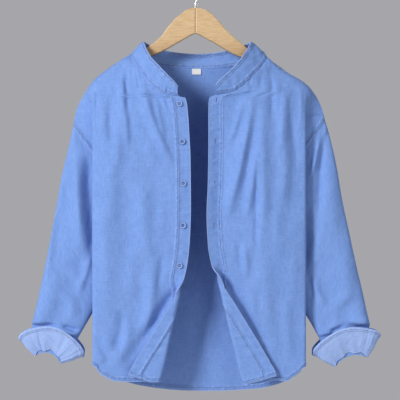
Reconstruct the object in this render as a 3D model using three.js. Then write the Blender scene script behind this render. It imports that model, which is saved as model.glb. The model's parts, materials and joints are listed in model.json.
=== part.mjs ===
// A loose mandarin collar shirt on a wooden hanger, in millimetres, +Z up, the front of the shirt facing -Y.
// The origin is the inside top of the hanger's hook, where the whole thing hangs.
// "drop" is a distance below the origin, "reach" a distance out from the middle of the hanger, and
// "depth" a distance in front of, or for the back behind, the plane of the hanger.
// The left side is at -X. Each side has its own sizes, because the shirt doesn't hang quite evenly.
import * as THREE from 'three';

// Cloth and sewing
const CLOTH = 1.6;
const FACING_CLOTH = 1.2;
const LABEL_CLOTH = 1.0;
const SEAM_GAP = 0.4;
const COLLAR_GAP = 2.7;
const SLEEVE_GAP = 1.0;
const LAID_ON_GAP = 1.0;
const FACING_WIDTH = 30;

// Folds of the fronts
const TURN_RADIUS = 6;
const TURN_START = 32;
const TURN_LENGTH = 50;
const EDGE_STRIP = 4;
const EDGE_SHARE = 0.3;
const CREASE_START = 235;
const CREASE_LENGTH = 60;
const UNDERARM_BLEND = 30;
const RIDGE_ROUNDING = 28;
const RIDGE_SHARE = 0.45;
const FOLD_INSET = 8;
// Fold in front of the sleeve, as depths behind the main panel: its nose, the layer under it, the inner
// crease and the layer that turns out again
const NOSE = { back: 3, front: 1, tip: 4.5, under: 8 };
const UNDER_LAYER = { near: 9.5, far: 10.5, crease: 13, turnHigh: 16, turnLow: 17, turnInset: 4 };
// Where the soft folds of a front begin: away from its neck edge, and below it
const WAVE = { share: 6, besideNeck: 35, belowNeck: 40, openBelow: 60, fade: 50 };

// Grid steps across one front: its facing's width, the strip that may be turned out, the rest of the
// main panel, and the fold in front of the sleeve
const FACING_STEPS = 6;
const STRIP_STEPS = 10;
const MAIN_STEPS = 6;
const SIDE_STEPS = 10;
const TURNED_WIDTH = 95;
const PLAIN_WIDTH = 180;
const BACK_STEPS = 14;
const TUBE_STEPS = 18;

// Roundness of a sleeve's and a cuff's flattened section: 2 would be an ellipse
const SQUARENESS = 3.2;

const table = (columns, rows) => rows.map((row) => (
  Object.fromEntries(columns.map((column, i) => [column, row[i]]))));
const mix = (a, b, t) => a + (b - a) * t;
const clamp01 = (t) => Math.min(Math.max(t, 0), 1);
const smooth = (t) => clamp01(t) ** 2 * (3 - 2 * clamp01(t));

// Reads a table smoothly between its rows, with no overshoot: a cubic whose slope at each row is the
// harmonic mean of the slopes on both sides of it.
function read(rows, key, at, column) {
  const last = rows.length - 1;
  if (at <= rows[0][key]) return rows[0][column];
  if (at >= rows[last][key]) return rows[last][column];
  const secant = (k) => (rows[k + 1][column] - rows[k][column]) / (rows[k + 1][key] - rows[k][key]);
  const slope = (k) => {
    if (k === 0) return secant(0);
    if (k === last) return secant(last - 1);
    const before = secant(k - 1);
    const after = secant(k);
    return before * after <= 0 ? 0 : (2 * before * after) / (before + after);
  };
  let i = 0;
  while (rows[i + 1][key] < at) i += 1;
  const span = rows[i + 1][key] - rows[i][key];
  const t = (at - rows[i][key]) / span;
  const value = rows[i][column] * (1 + 2 * t) * (1 - t) ** 2 + rows[i + 1][column] * t * t * (3 - 2 * t);
  return value + span * (slope(i) * t * (1 - t) ** 2 - slope(i + 1) * t * t * (1 - t));
}

// The band collar, station by station from the left front end round the back to the right front end:
// where its seam lies on the neck edge, and where its top edge stands.
const COLLAR = table(
  ['seamX', 'seamDrop', 'seamY', 'topX', 'topDrop', 'topY'],
  [
    [-37.5, 259, -50, -38, 240, -55],
    [-50, 258, -49.5, -47, 228, -55.5],
    [-66, 254, -49, -58, 217, -55],
    [-88, 243, -46, -74, 200, -51],
    [-113, 215, -38, -96, 176, -42],
    [-134, 187, -22, -108, 154, -25],
    [-142, 170, -8, -114, 139, -9],
    [-139.5, 162, 0, -114, 137, 0],
    [-132, 169, 11, -109, 139, 11],
    [-110, 180, 25, -90, 147, 30],
    [-60, 190, 35, -50, 156, 40],
    [0, 192.5, 38, 0, 160, 43],
    [62, 190, 35, 52, 156, 40],
    [118, 180, 25, 97, 146, 30],
    [145, 171, 11, 118, 139, 11],
    [153, 165.5, 0, 123, 137, 0],
    [157, 173, -9, 122, 139, -9],
    [147, 190, -24, 112, 158, -26],
    [128, 210, -37, 97, 180, -42],
    [106, 232, -44, 77, 203, -50],
    [85, 248, -47, 62, 217, -54],
    [62, 253, -49, 51, 227, -55.5],
    [45, 257, -50, 43.5, 237, -55],
  ],
);
const COLLAR_STEPS = 38;
const COLLAR_ROWS = 2;
const COLLAR_BULGE = 2.5;
const LEFT_NECK_STATION = 7;
const RIGHT_NECK_STATION = 15;

// Sizes of each side. ridge: the shoulder line. edge: the front edge below the collar.
// flap: the turned corner, from its fold to the front edge that now lies outward.
// hem: the lower edge, station 0 at the front edge, 1 at the turned fold, 2 at the fold in front of the
// sleeve and 3 at the side seam. sleeve: outer and inner outline of the flattened tube, half its depth.
// cuff and wrist: fans about one centre, the cuff's from its mouth to its rim.
const SIDES = {
  left: {
    name: 'left',
    sign: -1,
    fold: 226.6,
    neckStations: [0, LEFT_NECK_STATION],
    ridge: table(['drop', 'reach'],
      [[162, 139.5], [174, 159.5], [209, 210], [224, 226.6], [255, 247.5], [284, 262], [315, 270]]),
    armTop: { reach: 270, drop: 315 },
    armBottom: { reach: 155, drop: 473 },
    edge: table(['drop', 'reach'],
      [[262, 36], [265, 22], [298, 16.5], [337, 14], [396, 11], [499, 10], [568, 12], [607, 15],
        [640, 20], [682, 32]]),
    flap: table(['drop', 'fold', 'free'],
      [[682, 32, 32], [733, 43, 64], [801, 57, 106], [857, 69, 141], [871, 73, 147], [887, 78, 147]]),
    hem: table(['station', 'drop'],
      [[0, 871], [0.4, 880], [0.8, 887.5], [1, 887], [1.3, 888], [1.68, 886.6], [1.81, 880],
        [1.95, 869], [2, 857], [3, 838]]),
    rows: [166, 178, 194, 214, 234, 250, 260, 266, 288, 315, 345, 385, 430, 473, 540, 600, 638, 655,
      666, 675, 684, 694, 706, 719, 733, 748, 768, 805, 845, 880],
    folds: table(['fromReach', 'fromDrop', 'toReach', 'toDrop', 'width', 'height'],
      [[165, 260, 170, 400, 11, 5], [140, 250, 88, 400, 14, 5], [120, 470, 95, 690, 20, 4],
        [205, 790, 160, 850, 13, 6]]),
    sleeve: table(['outReach', 'outDrop', 'inReach', 'inDrop', 'half'],
      [[270, 315, 159, 473, 11], [285, 387, 160, 500, 12], [296, 433, 164, 535, 12],
        [307, 495, 173, 580, 12], [322, 576, 189, 640, 12], [333, 632.5, 204, 690, 13],
        [347.5, 699.5, 227.5, 736, 15], [355, 733, 245.5, 768, 17], [363, 764.5, 261, 795, 17]]),
    wrist: table(['radius', 'spread', 'half'], [[84, 36, 16], [62, 41, 13.5], [45, 48, 11], [35, 55, 9.4]]),
    cuff: {
      reach: 333, drop: 861, tilt: 15.5, spread: 58.5, mouth: 35, rim: 94, mouthHalf: 11.5, rimHalf: 24,
    },
  },
  right: {
    name: 'right',
    sign: 1,
    fold: 242.7,
    neckStations: [COLLAR.length - 1, RIGHT_NECK_STATION],
    ridge: table(['drop', 'reach'],
      [[165.5, 153], [175, 163.5], [200, 195], [224.5, 236.5], [242, 256], [275, 276], [301.5, 285]]),
    armTop: { reach: 285, drop: 301.5 },
    armBottom: { reach: 168, drop: 473 },
    edge: table(['drop', 'reach'],
      [[259, 43], [264, 31], [279, 28.5], [356, 28.5], [444, 27.5], [519, 24.5], [587, 27.5], [625, 34],
        [655, 46.5]]),
    flap: table(['drop', 'fold', 'free'],
      [[655, 46.5, 46.5], [674.5, 52, 59.5], [710.5, 60.5, 83.5], [756, 70, 111.5], [818, 85.5, 149],
        [840, 90, 161.5], [873, 98.5, 177], [893, 105.5, 177]]),
    hem: table(['station', 'drop'],
      [[0, 873.5], [0.5, 884], [0.9, 891], [1, 893], [1.25, 890], [1.55, 884.5], [1.71, 886.5],
        [1.88, 873.5], [1.97, 864], [2, 859], [3, 838]]),
    rows: [169, 180, 195, 213, 230, 246, 257, 265, 283, 301.5, 335, 378, 425, 473, 535, 590, 615, 630, 640,
      649, 658, 668, 680, 693, 707, 722, 740, 770, 810, 850, 880],
    folds: table(['fromReach', 'fromDrop', 'toReach', 'toDrop', 'width', 'height'],
      [[120, 262, 98, 400, 12, 7], [98, 400, 70, 520, 14, 6], [150, 245, 132, 470, 15, 6],
        [198, 265, 195, 480, 13, 4], [140, 640, 165, 840, 22, 4]]),
    sleeve: table(['outReach', 'outDrop', 'inReach', 'inDrop', 'half'],
      [[285, 301.5, 173, 473, 11], [298, 349, 173, 500, 12], [313.5, 418, 177, 538, 12],
        [324.5, 484, 187, 585, 12], [344, 576, 205, 645, 12], [357.5, 638, 220, 692, 13],
        [372, 699.5, 244, 741, 15], [379.5, 735, 260, 768, 17], [386.5, 764, 274, 794, 17]]),
    wrist: table(['radius', 'spread', 'half'], [[104, 30, 16], [80, 34, 13.5], [62, 38, 11], [52, 44, 9.4]]),
    cuff: {
      reach: 356, drop: 883.5, tilt: 16, spread: 46.5, mouth: 52, rim: 115, mouthHalf: 11.5, rimHalf: 24,
    },
  },
};

// How far the cloth stands from the hanger's plane beside the sleeve, and at the front edge and centre back
const SIDE_DEPTH = table(['drop', 'depth'],
  [[162, 3], [180, 12], [200, 19], [230, 24], [260, 26], [900, 26]]);
const FRONT_DEPTH = table(['drop', 'depth'],
  [[262, 50], [300, 48], [400, 46], [550, 44], [650, 41], [760, 37], [890, 34]]);
const BACK_DEPTH = table(['drop', 'depth'], [[190, 37], [300, 40], [600, 36], [900, 31]]);
// How far the cloth turns back in, behind its fold in front of the sleeve
const TUCK = table(['drop', 'depth'],
  [[235, 0], [300, 6], [345, 14], [376, 24], [415, 48], [445, 66], [473, 80], [540, 80], [600, 76],
    [700, 66], [800, 58], [857, 52]]);
const NOMINAL_HEM = 880;
const HEM_BLEND = 240;

// The back: its nominal rows, its tail, and where its top row lies
const BACK_ROWS = [205, 208, 213, 222, 238, 258, 280, 301.5, 315, 345, 385, 430, 473, 530, 600, 670, 740,
  800, 850, 880, 900];
const BACK_NOMINAL_HEM = 900;
const BACK_TOP_BLEND = 75;
const BACK_TOP_ROUNDNESS = 2.5;
// Where the back's outermost main columns meet the shoulder lines, and how many columns further in each
// shoulder line meets the neck seam
const BACK_SHOULDER = { left: 158, right: 170, columns: 2 };
const BACK_HEM = table(['across', 'drop'],
  [[-226, 857], [-219, 869], [-186, 884.5], [-148, 897.5], [-102, 907.5], [-36, 914.5], [10, 916],
    [38, 916], [135, 911], [178, 902], [212, 888], [234, 873.5], [242.5, 859]]);
const SIDE_SEAM_HEM = 838;
const BACK_FOLDS = table(['fromAcross', 'fromDrop', 'toAcross', 'toDrop', 'width', 'height'],
  [[-120, 240, -90, 520, 22, 5], [110, 240, 95, 560, 24, 6], [-30, 420, -45, 860, 26, 4],
    [160, 480, 140, 850, 20, 5]]);

// Buttons: drops of the ones on the left front
const BUTTON_DROPS = [277.5, 360, 452, 544, 632, 813];
const BUTTON_INSET = 16.5;
const BUTTON_GAP = 0.1;
const BUTTON_SIDES = 12;

// Hanger and hook
const HANGER_THICK = 14;
const HANGER_BEVEL = 2.5;
const BEVEL_STEPS = 2;
const HALF_GAP = 0.3;
const HOOK_INNER = 18;
const HOOK_WIRE = 2;
const HOOK_SIDES = 8;
const HOOK_STEPS = 24;
const NECK_LABEL = { across: 2, drop: 194, wide: 20, high: 13, lean: 0.6, gap: 0.3 };

const FABRIC = { color: 0x7396d7, roughness: 0.9, metalness: 0 };
const SHELL = { color: 0x5f84cc, roughness: 0.4, metalness: 0 };
const LABEL = { color: 0xf2f2f0, roughness: 0.8, metalness: 0 };
const WOOD = { color: 0xcdb592, roughness: 0.55, metalness: 0 };
const STEEL = { color: 0xc9c9c6, roughness: 0.3, metalness: 1 };

const shirt = new THREE.Group();

// Adds one closed body from its points and triangles, its faces turned outward.
function addBody(name, points, triangles, finish) {
  const at = (i) => new THREE.Vector3(...points[i]);
  const volume = triangles.reduce((sum, [a, b, c]) => sum + at(a).dot(at(b).cross(at(c))), 0);
  const faces = volume > 0 ? triangles : triangles.map(([a, b, c]) => [a, c, b]);
  const geometry = new THREE.BufferGeometry();
  geometry.setAttribute('position', new THREE.Float32BufferAttribute(points.flat(), 3));
  geometry.setIndex(faces.flat());
  geometry.computeVertexNormals();
  const mesh = new THREE.Mesh(geometry, new THREE.MeshStandardMaterial(finish));
  mesh.name = name;
  shirt.add(mesh);
}

// Unit normal at each point of a grid, from the directions along and across it. At a seam in the
// hanger's plane it stays in that plane, so that the two pieces meet edge to edge.
function gridNormals(grid, closed) {
  const rows = grid.length;
  const columns = grid[0].length;
  const vector = (i, j) => new THREE.Vector3(...grid[i][j]);
  return grid.map((row, i) => row.map((point, j) => {
    const before = closed ? (j + columns - 1) % columns : Math.max(j - 1, 0);
    const after = closed ? (j + 1) % columns : Math.min(j + 1, columns - 1);
    const across = vector(i, after).sub(vector(i, before));
    const down = vector(Math.min(i + 1, rows - 1), j).sub(vector(Math.max(i - 1, 0), j));
    const normal = across.cross(down);
    const atSeam = !closed && (j === 0 || j === columns - 1) && Math.abs(point[1]) < 2 * SEAM_GAP;
    if (atSeam) normal.y = 0;
    return normal.normalize();
  }));
}

// A cloth wall: the grid of its middle surface, moved out by half the cloth to each face, and closed
// round its edges.
function clothWall(name, grid, thickness, finish, closed = false) {
  const rows = grid.length;
  const columns = grid[0].length;
  const normals = gridNormals(grid, closed);
  const face = (side) => grid.flatMap((row, i) => row.map((point, j) => {
    const n = normals[i][j];
    const move = (side * thickness) / 2;
    return [point[0] + n.x * move, point[1] + n.y * move, point[2] + n.z * move];
  }));
  const points = [...face(1), ...face(-1)];
  const under = rows * columns;
  const triangles = [];
  const quad = (a, b, c, d) => triangles.push([a, b, c], [a, c, d]);
  const spans = closed ? columns : columns - 1;
  for (let i = 0; i < rows - 1; i += 1) {
    for (let j = 0; j < spans; j += 1) {
      const a = i * columns + j;
      const b = i * columns + ((j + 1) % columns);
      quad(a, b, b + columns, a + columns);
      quad(under + a, under + a + columns, under + b + columns, under + b);
    }
  }
  for (let j = 0; j < spans; j += 1) {
    const next = (j + 1) % columns;
    const bottom = (rows - 1) * columns;
    quad(under + j, under + next, next, j);
    quad(bottom + j, bottom + next, under + bottom + next, under + bottom + j);
  }
  if (!closed) {
    for (let i = 0; i < rows - 1; i += 1) {
      const a = i * columns;
      const b = a + columns - 1;
      quad(a, a + columns, under + a + columns, under + a);
      quad(b + columns, b, under + b, under + b + columns);
    }
  }
  addBody(name, points, triangles, finish);
}

// The neck seam as one smooth line, and the same line looked up by its drop on one side's front.
const neckLine = new THREE.CatmullRomCurve3(
  COLLAR.map((s) => new THREE.Vector3(s.seamX, s.seamY, -s.seamDrop)), false, 'centripetal');
const collarTopLine = new THREE.CatmullRomCurve3(
  COLLAR.map((s) => new THREE.Vector3(s.topX, s.topY, -s.topDrop)), false, 'centripetal');
const NECK_SAMPLES = 160;

function neckEdge(side) {
  const [front, ridge] = side.neckStations.map((station) => station / (COLLAR.length - 1));
  const samples = [];
  for (let i = 0; i <= NECK_SAMPLES; i += 1) {
    const point = neckLine.getPoint(mix(ridge, front, i / NECK_SAMPLES));
    const drop = -point.z;
    if (!samples.length || drop > samples[samples.length - 1].drop) {
      samples.push({ drop, reach: point.x * side.sign, depth: -point.y });
    }
  }
  return samples;
}
Object.values(SIDES).forEach((side) => { side.neck = neckEdge(side); });

// Height of a panel's soft folds: a rounded ridge along each row's line, fading at its ends.
function foldHeight(folds, prefix, across, drop) {
  return folds.reduce((sum, fold) => {
    const ax = fold[`from${prefix}`];
    const bx = fold[`to${prefix}`];
    const length = Math.hypot(bx - ax, fold.toDrop - fold.fromDrop);
    const ux = (bx - ax) / length;
    const ud = (fold.toDrop - fold.fromDrop) / length;
    const along = (across - ax) * ux + (drop - fold.fromDrop) * ud;
    const off = Math.abs((across - ax) * ud - (drop - fold.fromDrop) * ux);
    const ends = smooth(along / WAVE.fade + 0.5) * smooth((length - along) / WAVE.fade + 0.5);
    return sum + fold.height * ends * Math.exp(-((off / fold.width) ** 2));
  }, 0);
}

// Where a row's panel ends at the shoulder line, the armhole seam or, below the underarm, the side seam.
function outerSeam(side, drop) {
  if (drop <= side.armTop.drop) {
    return { reach: read(side.ridge, 'drop', drop, 'reach'), depth: SEAM_GAP };
  }
  const share = clamp01((drop - side.armTop.drop) / (side.armBottom.drop - side.armTop.drop));
  const across = Math.abs(2 * share - 1);
  const depth = side.sleeve[0].half * (1 - across ** SQUARENESS) ** (1 / SQUARENESS);
  return { reach: mix(side.armTop.reach, side.armBottom.reach, share), depth: Math.max(depth, SEAM_GAP) };
}

// The outer part of a row, from the end of the main panel at (reach, depth): round the lengthwise fold in
// front of the sleeve, back in behind it, and out again to the seam. Above the crease it only rounds
// over the shoulder.
function sidePath(side, drop, start) {
  const seam = outerSeam(side, drop);
  const tuck = read(TUCK, 'drop', drop, 'depth');
  const inner = side.fold - tuck;
  const nook = Math.min(1, tuck / FOLD_INSET);
  const low = smooth((drop - side.armBottom.drop + UNDERARM_BLEND) / UNDERARM_BLEND);
  const turn = [
    mix(inner + UNDER_LAYER.turnInset * nook, inner, low),
    start.depth - mix(UNDER_LAYER.turnHigh, UNDER_LAYER.turnLow, low),
  ];
  const end = [mix(seam.reach, inner, low), mix(seam.depth, SEAM_GAP, low)];
  const folded = [
    [side.fold - NOSE.back, start.depth - NOSE.front],
    [side.fold, start.depth - NOSE.tip],
    [side.fold - NOSE.back * nook, start.depth - NOSE.under],
    [side.fold - 0.4 * tuck, start.depth - UNDER_LAYER.near],
    [side.fold - 0.8 * tuck, start.depth - UNDER_LAYER.far],
    [inner, start.depth - UNDER_LAYER.crease],
    turn,
    [mix(turn[0], end[0], 1 / 3), mix(turn[1], end[1], 1 / 3)],
    [mix(turn[0], end[0], 2 / 3), mix(turn[1], end[1], 2 / 3)],
    end,
  ];
  const crease = smooth((drop - CREASE_START) / CREASE_LENGTH);
  return folded.map(([reach, depth], k) => {
    const angle = ((k + 1) / SIDE_STEPS) * (Math.PI / 2);
    const roundReach = mix(start.reach, seam.reach, Math.sin(angle));
    const roundDepth = mix(seam.depth, start.depth, Math.cos(angle));
    return [mix(roundReach, reach, crease), mix(roundDepth, depth, crease)];
  });
}

// Where the main panel ends: just inside the fold, or a little short of the shoulder line above it.
function mainEnd(side, drop, inner) {
  const ridge = outerSeam(side, Math.min(drop, side.armTop.drop)).reach;
  const rounding = Math.min(RIDGE_ROUNDING, RIDGE_SHARE * (ridge - inner));
  return Math.min(side.fold - FOLD_INSET, ridge - rounding);
}

// One row of a front at a drop. The cloth runs from its edge through a straight strip, a turn and the main
// panel. The turn's angle grows from nothing to half a turn where the corner is turned outward.
// place(along) gives [reach, depth] at a distance along the cloth from the edge.
function frontRow(side, drop) {
  const neckEnd = side.neck[side.neck.length - 1].drop;
  const onNeck = drop < neckEnd;
  const edge = read(onNeck ? side.neck : side.edge, 'drop', drop, 'reach');
  const middleDepth = read(onNeck ? side.neck : FRONT_DEPTH, 'drop', drop, 'depth');
  const sideDepth = read(SIDE_DEPTH, 'drop', drop, 'depth');
  const turned = smooth((drop - side.flap[0].drop + TURN_START) / TURN_LENGTH);
  const angle = Math.max(turned, 1e-3) * Math.PI;
  const panelEnd = mainEnd(side, drop, edge);
  const scale = Math.min(1, (EDGE_SHARE * (panelEnd - edge)) / (Math.PI * TURN_RADIUS + EDGE_STRIP));
  const turnLength = Math.PI * TURN_RADIUS * scale;
  const foldReach = read(side.flap, 'drop', drop, 'fold') + TURN_RADIUS;
  const freeReach = read(side.flap, 'drop', drop, 'free');
  const strip = mix(EDGE_STRIP * scale, Math.max(freeReach - foldReach, EDGE_STRIP), turned);
  const panelStart = mix(edge + turnLength + EDGE_STRIP * scale, foldReach, turned);
  const surface = (reach) => {
    const share = clamp01((panelEnd - reach) / (panelEnd - edge));
    const open = smooth((drop - neckEnd) / WAVE.openBelow);
    const besideNeck = mix(smooth((reach - edge) / WAVE.besideNeck), 1, open);
    const below = smooth((drop - neckEnd + WAVE.belowNeck) / WAVE.belowNeck);
    const fade = smooth(share * WAVE.share) * below * besideNeck;
    const wave = foldHeight(side.folds, 'Reach', reach, drop) * fade;
    return mix(sideDepth, middleDepth, 1 - (1 - share) ** 2) + wave;
  };
  const base = (reach) => mix(surface(reach), surface(panelStart), turned);
  const place = (along) => {
    const beyond = along - strip - turnLength;
    if (beyond >= 0) return [panelStart + beyond, surface(panelStart + beyond)];
    const swing = angle * Math.min(-beyond / turnLength, 1);
    const straight = Math.max(strip - along, 0);
    const reach = panelStart - (turnLength / angle) * Math.sin(swing) - Math.cos(angle) * straight;
    const rise = (turnLength / angle) * (1 - Math.cos(swing)) + Math.sin(angle) * straight;
    return [reach, base(reach) + rise];
  };
  const length = strip + turnLength + panelEnd - panelStart;
  return { strip, turnLength, length, place, end: { reach: panelEnd, depth: surface(panelEnd) } };
}

// Distances along the cloth of a row's grid points up to the fold in front of the sleeve: even steps over
// the facing, wider ones over the rest of the strip that may be turned out, and then over the panel.
function frontColumns(length) {
  const scale = Math.min(1, length / PLAIN_WIDTH);
  const columns = [];
  for (let k = 0; k < FACING_STEPS; k += 1) columns.push((scale * FACING_WIDTH * k) / FACING_STEPS);
  for (let k = 0; k < STRIP_STEPS; k += 1) {
    columns.push(scale * mix(FACING_WIDTH, TURNED_WIDTH, k / STRIP_STEPS));
  }
  for (let k = 0; k <= MAIN_STEPS; k += 1) columns.push(mix(scale * TURNED_WIDTH, length, k / MAIN_STEPS));
  return columns;
}

// The whole row as [reach, depth] pairs, from the front edge to the outer seam.
function frontPath(side, drop) {
  const row = frontRow(side, drop);
  return [...frontColumns(row.length).map(row.place), ...sidePath(side, drop, row.end)];
}

// Station of each grid column at the hem, as the hem table counts them.
function hemStations(side) {
  const row = frontRow(side, NOMINAL_HEM);
  const turnEnd = row.strip + row.turnLength;
  const main = frontColumns(row.length).map((along) => {
    if (along < row.strip) return along / row.strip;
    return along < turnEnd ? 1 : 1 + (along - turnEnd) / (row.length - turnEnd);
  });
  const outer = Array.from({ length: SIDE_STEPS }, (unused, k) => 2 + (k + 1) / SIDE_STEPS);
  return [...main, ...outer];
}

// A front panel's middle surface. Each point's drop leans from its row towards the hem's own line.
function frontGrid(side) {
  const stations = hemStations(side);
  return side.rows.map((row) => {
    const towardsHem = smooth((row - NOMINAL_HEM + HEM_BLEND) / HEM_BLEND);
    return stations.map((station, j) => {
      const hem = read(side.hem, 'station', station, 'drop');
      const drop = row + (hem - NOMINAL_HEM) * towardsHem;
      const [reach, depth] = frontPath(side, drop)[j];
      return [side.sign * reach, -depth, -drop];
    });
  });
}

// Top line of the back: the shoulder lines outside the neck, and the neck seam between them, where the
// point of the seam at that reach is found by halving.
const HALVINGS = 30;
function backTop(across) {
  const side = across < 0 ? SIDES.left : SIDES.right;
  const reach = Math.abs(across);
  if (reach >= side.ridge[0].reach) {
    return [across, SEAM_GAP, -read(side.ridge, 'reach', reach, 'drop')];
  }
  let low = LEFT_NECK_STATION / (COLLAR.length - 1);
  let high = RIGHT_NECK_STATION / (COLLAR.length - 1);
  for (let step = 0; step < HALVINGS; step += 1) {
    const middle = (low + high) / 2;
    if (neckLine.getPoint(middle).x < across) low = middle; else high = middle;
  }
  const point = neckLine.getPoint(low);
  return [across, Math.max(point.y, SEAM_GAP), point.z];
}

// One row of the back from the left side seam to the right one, as [x, y] pairs.
function backPath(drop) {
  const { left, right } = SIDES;
  const sideDepth = read(SIDE_DEPTH, 'drop', drop, 'depth');
  const centreDepth = read(BACK_DEPTH, 'drop', drop, 'depth');
  const leftEnd = -mainEnd(left, drop, 0);
  const rightEnd = mainEnd(right, drop, 0);
  const main = [];
  for (let k = 0; k <= BACK_STEPS; k += 1) {
    const across = mix(leftEnd, rightEnd, k / BACK_STEPS);
    const share = (2 * k) / BACK_STEPS - 1;
    const fade = smooth((1 - Math.abs(share)) * 4);
    const wave = foldHeight(BACK_FOLDS, 'Across', across, drop) * fade;
    main.push([across, mix(centreDepth, sideDepth, share ** 2) + wave]);
  }
  const side = (which, reach) => sidePath(which, drop, { reach, depth: sideDepth })
    .map(([out, depth]) => [which.sign * out, depth]);
  return [...side(left, -leftEnd).reverse(), ...main, ...side(right, rightEnd)];
}

// Where each column of the back meets its top line: the seam columns lie on the shoulder lines.
function backTopAcross(column) {
  const columns = 2 * SIDE_STEPS + BACK_STEPS;
  const [firstRow] = BACK_ROWS;
  const stops = table(['column', 'across'], [
    [0, -read(SIDES.left.ridge, 'drop', firstRow, 'reach')],
    [SIDE_STEPS, -BACK_SHOULDER.left],
    [SIDE_STEPS + BACK_SHOULDER.columns, -SIDES.left.ridge[0].reach],
    [columns - SIDE_STEPS - BACK_SHOULDER.columns, SIDES.right.ridge[0].reach],
    [columns - SIDE_STEPS, BACK_SHOULDER.right],
    [columns, read(SIDES.right.ridge, 'drop', firstRow, 'reach')],
  ]);
  const after = stops.findIndex((stop) => stop.column >= column);
  const to = stops[Math.max(after, 1)];
  const from = stops[Math.max(after, 1) - 1];
  return mix(from.across, to.across, (column - from.column) / (to.column - from.column));
}

function backGrid() {
  const columns = 2 * SIDE_STEPS + BACK_STEPS + 1;
  const [firstRow] = BACK_ROWS;
  const firstPath = backPath(firstRow);
  return BACK_ROWS.map((row) => Array.from({ length: columns }, (unused, j) => {
    const [hemAcross] = backPath(BACK_NOMINAL_HEM)[j];
    const outside = Math.max(1 - j / SIDE_STEPS, (j - SIDE_STEPS - BACK_STEPS) / SIDE_STEPS, 0);
    const hem = mix(read(BACK_HEM, 'across', hemAcross, 'drop'), SIDE_SEAM_HEM, outside);
    const towardsHem = smooth((row - BACK_NOMINAL_HEM + HEM_BLEND) / HEM_BLEND);
    const drop = row + (hem - BACK_NOMINAL_HEM) * towardsHem;
    const [x, y] = backPath(drop)[j];
    const top = backTop(backTopAcross(j));
    const below = (row - firstRow) / BACK_TOP_BLEND;
    const towardsTop = 1 - smooth(below);
    const pinched = 1 - Math.sqrt(clamp01(below * BACK_TOP_ROUNDNESS));
    const lift = [top[0] - firstPath[j][0], top[1] - firstPath[j][1], top[2] + firstRow];
    return [x + lift[0] * towardsTop, y + lift[1] * pinched, lift[2] * towardsTop - drop];
  }));
}

// A layer laid on a panel: the first columns of the panel's grid, moved off along its normals.
function laidOn(grid, steps, away) {
  const normals = gridNormals(grid, false);
  return grid.map((row, i) => row.slice(0, steps + 1).map((point, j) => (
    point.map((value, axis) => value + normals[i][j].getComponent(axis) * away))));
}

// Ring of a flattened tube, its points on a rounded oblong: place(share) gives the point of its middle
// line from -1 on the outside to 1 on the inside, and half the depth of its section.
function tubeRing(side, half, place, folds) {
  const power = 2 / SQUARENESS;
  return Array.from({ length: TUBE_STEPS }, (unused, k) => {
    const angle = (2 * Math.PI * k) / TUBE_STEPS;
    const share = -Math.sign(Math.cos(angle)) * Math.abs(Math.cos(angle)) ** power;
    const depth = half * Math.sign(Math.sin(angle)) * Math.abs(Math.sin(angle)) ** power;
    const [reach, drop] = place(share);
    return [side.sign * reach, -depth * folds(share), -drop];
  });
}

const fanPlace = (centre, radius, spread) => (share) => {
  const angle = THREE.MathUtils.degToRad(-share * spread - centre.tilt);
  return [centre.reach + radius * Math.sin(angle), centre.drop - radius * Math.cos(angle)];
};

// A sleeve, from the armhole seam down to the narrow mouth inside the turned-back cuff. Its long folds
// are waves across it that drift from ring to ring, and lie on its outer half.
const SLEEVE_FOLD = { height: 0.22, turns: 4.5, start: 0.8, drift: 0.4, rings: 3 };
function sleeveGrid(side) {
  const [first] = side.sleeve;
  const across = new THREE.Vector2(first.inReach - first.outReach, first.inDrop - first.outDrop).normalize();
  const rings = side.sleeve.map((row, i) => {
    const gap = i === 0 ? SLEEVE_GAP : 0;
    const place = (share) => [
      mix(row.outReach, row.inReach, (share + 1) / 2) + across.y * gap,
      mix(row.outDrop, row.inDrop, (share + 1) / 2) - across.x * gap,
    ];
    const free = smooth((i - 1) / SLEEVE_FOLD.rings);
    const folds = (share) => {
      const wave = Math.cos(SLEEVE_FOLD.turns * share + SLEEVE_FOLD.start + SLEEVE_FOLD.drift * i);
      return 1 + SLEEVE_FOLD.height * free * (1 + wave) * smooth(1 - 2 * share);
    };
    return tubeRing(side, row.half, place, folds);
  });
  const wrist = side.wrist.map((row) => (
    tubeRing(side, row.half, fanPlace(side.cuff, row.radius, row.spread), () => 1)));
  return [...rings, ...wrist];
}

// A turned-back cuff: a fan about the point below its mouth, wider and deeper towards its free rim.
const CUFF_ROWS = 3;
function cuffGrid(side) {
  const { cuff } = side;
  return Array.from({ length: CUFF_ROWS + 1 }, (unused, i) => {
    const share = i / CUFF_ROWS;
    const radius = mix(cuff.mouth, cuff.rim, share);
    const half = mix(cuff.mouthHalf, cuff.rimHalf, Math.sin((share * Math.PI) / 2));
    return tubeRing(side, half, fanPlace(cuff, radius, cuff.spread), () => 1);
  });
}

// The band collar: straight from seam to top edge at each station, with a slight roundness outward.
function collarGrid() {
  return Array.from({ length: COLLAR_ROWS + 1 }, (unusedRow, i) => (
    Array.from({ length: COLLAR_STEPS + 1 }, (unused, j) => {
      const seam = neckLine.getPoint(j / COLLAR_STEPS);
      const top = collarTopLine.getPoint(j / COLLAR_STEPS);
      const rise = top.clone().sub(seam);
      const share = mix(COLLAR_GAP / rise.length(), 1, i / COLLAR_ROWS);
      const point = seam.clone().addScaledVector(rise, share);
      const outward = new THREE.Vector3(point.x, point.y, 0).normalize();
      point.addScaledVector(outward, COLLAR_BULGE * Math.sin(Math.PI * share));
      return point.toArray();
    })
  ));
}

// A shirt button: a turned disc with a raised rim, a dished middle and a rounded back.
const BUTTON_PROFILE = table(['radius', 'height'],
  [[0, 0.3], [4.2, 0.3], [6.4, 1.0], [7, 1.8], [6.6, 2.7], [5.6, 2.9], [4.6, 2.1], [0, 1.8]]);

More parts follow.
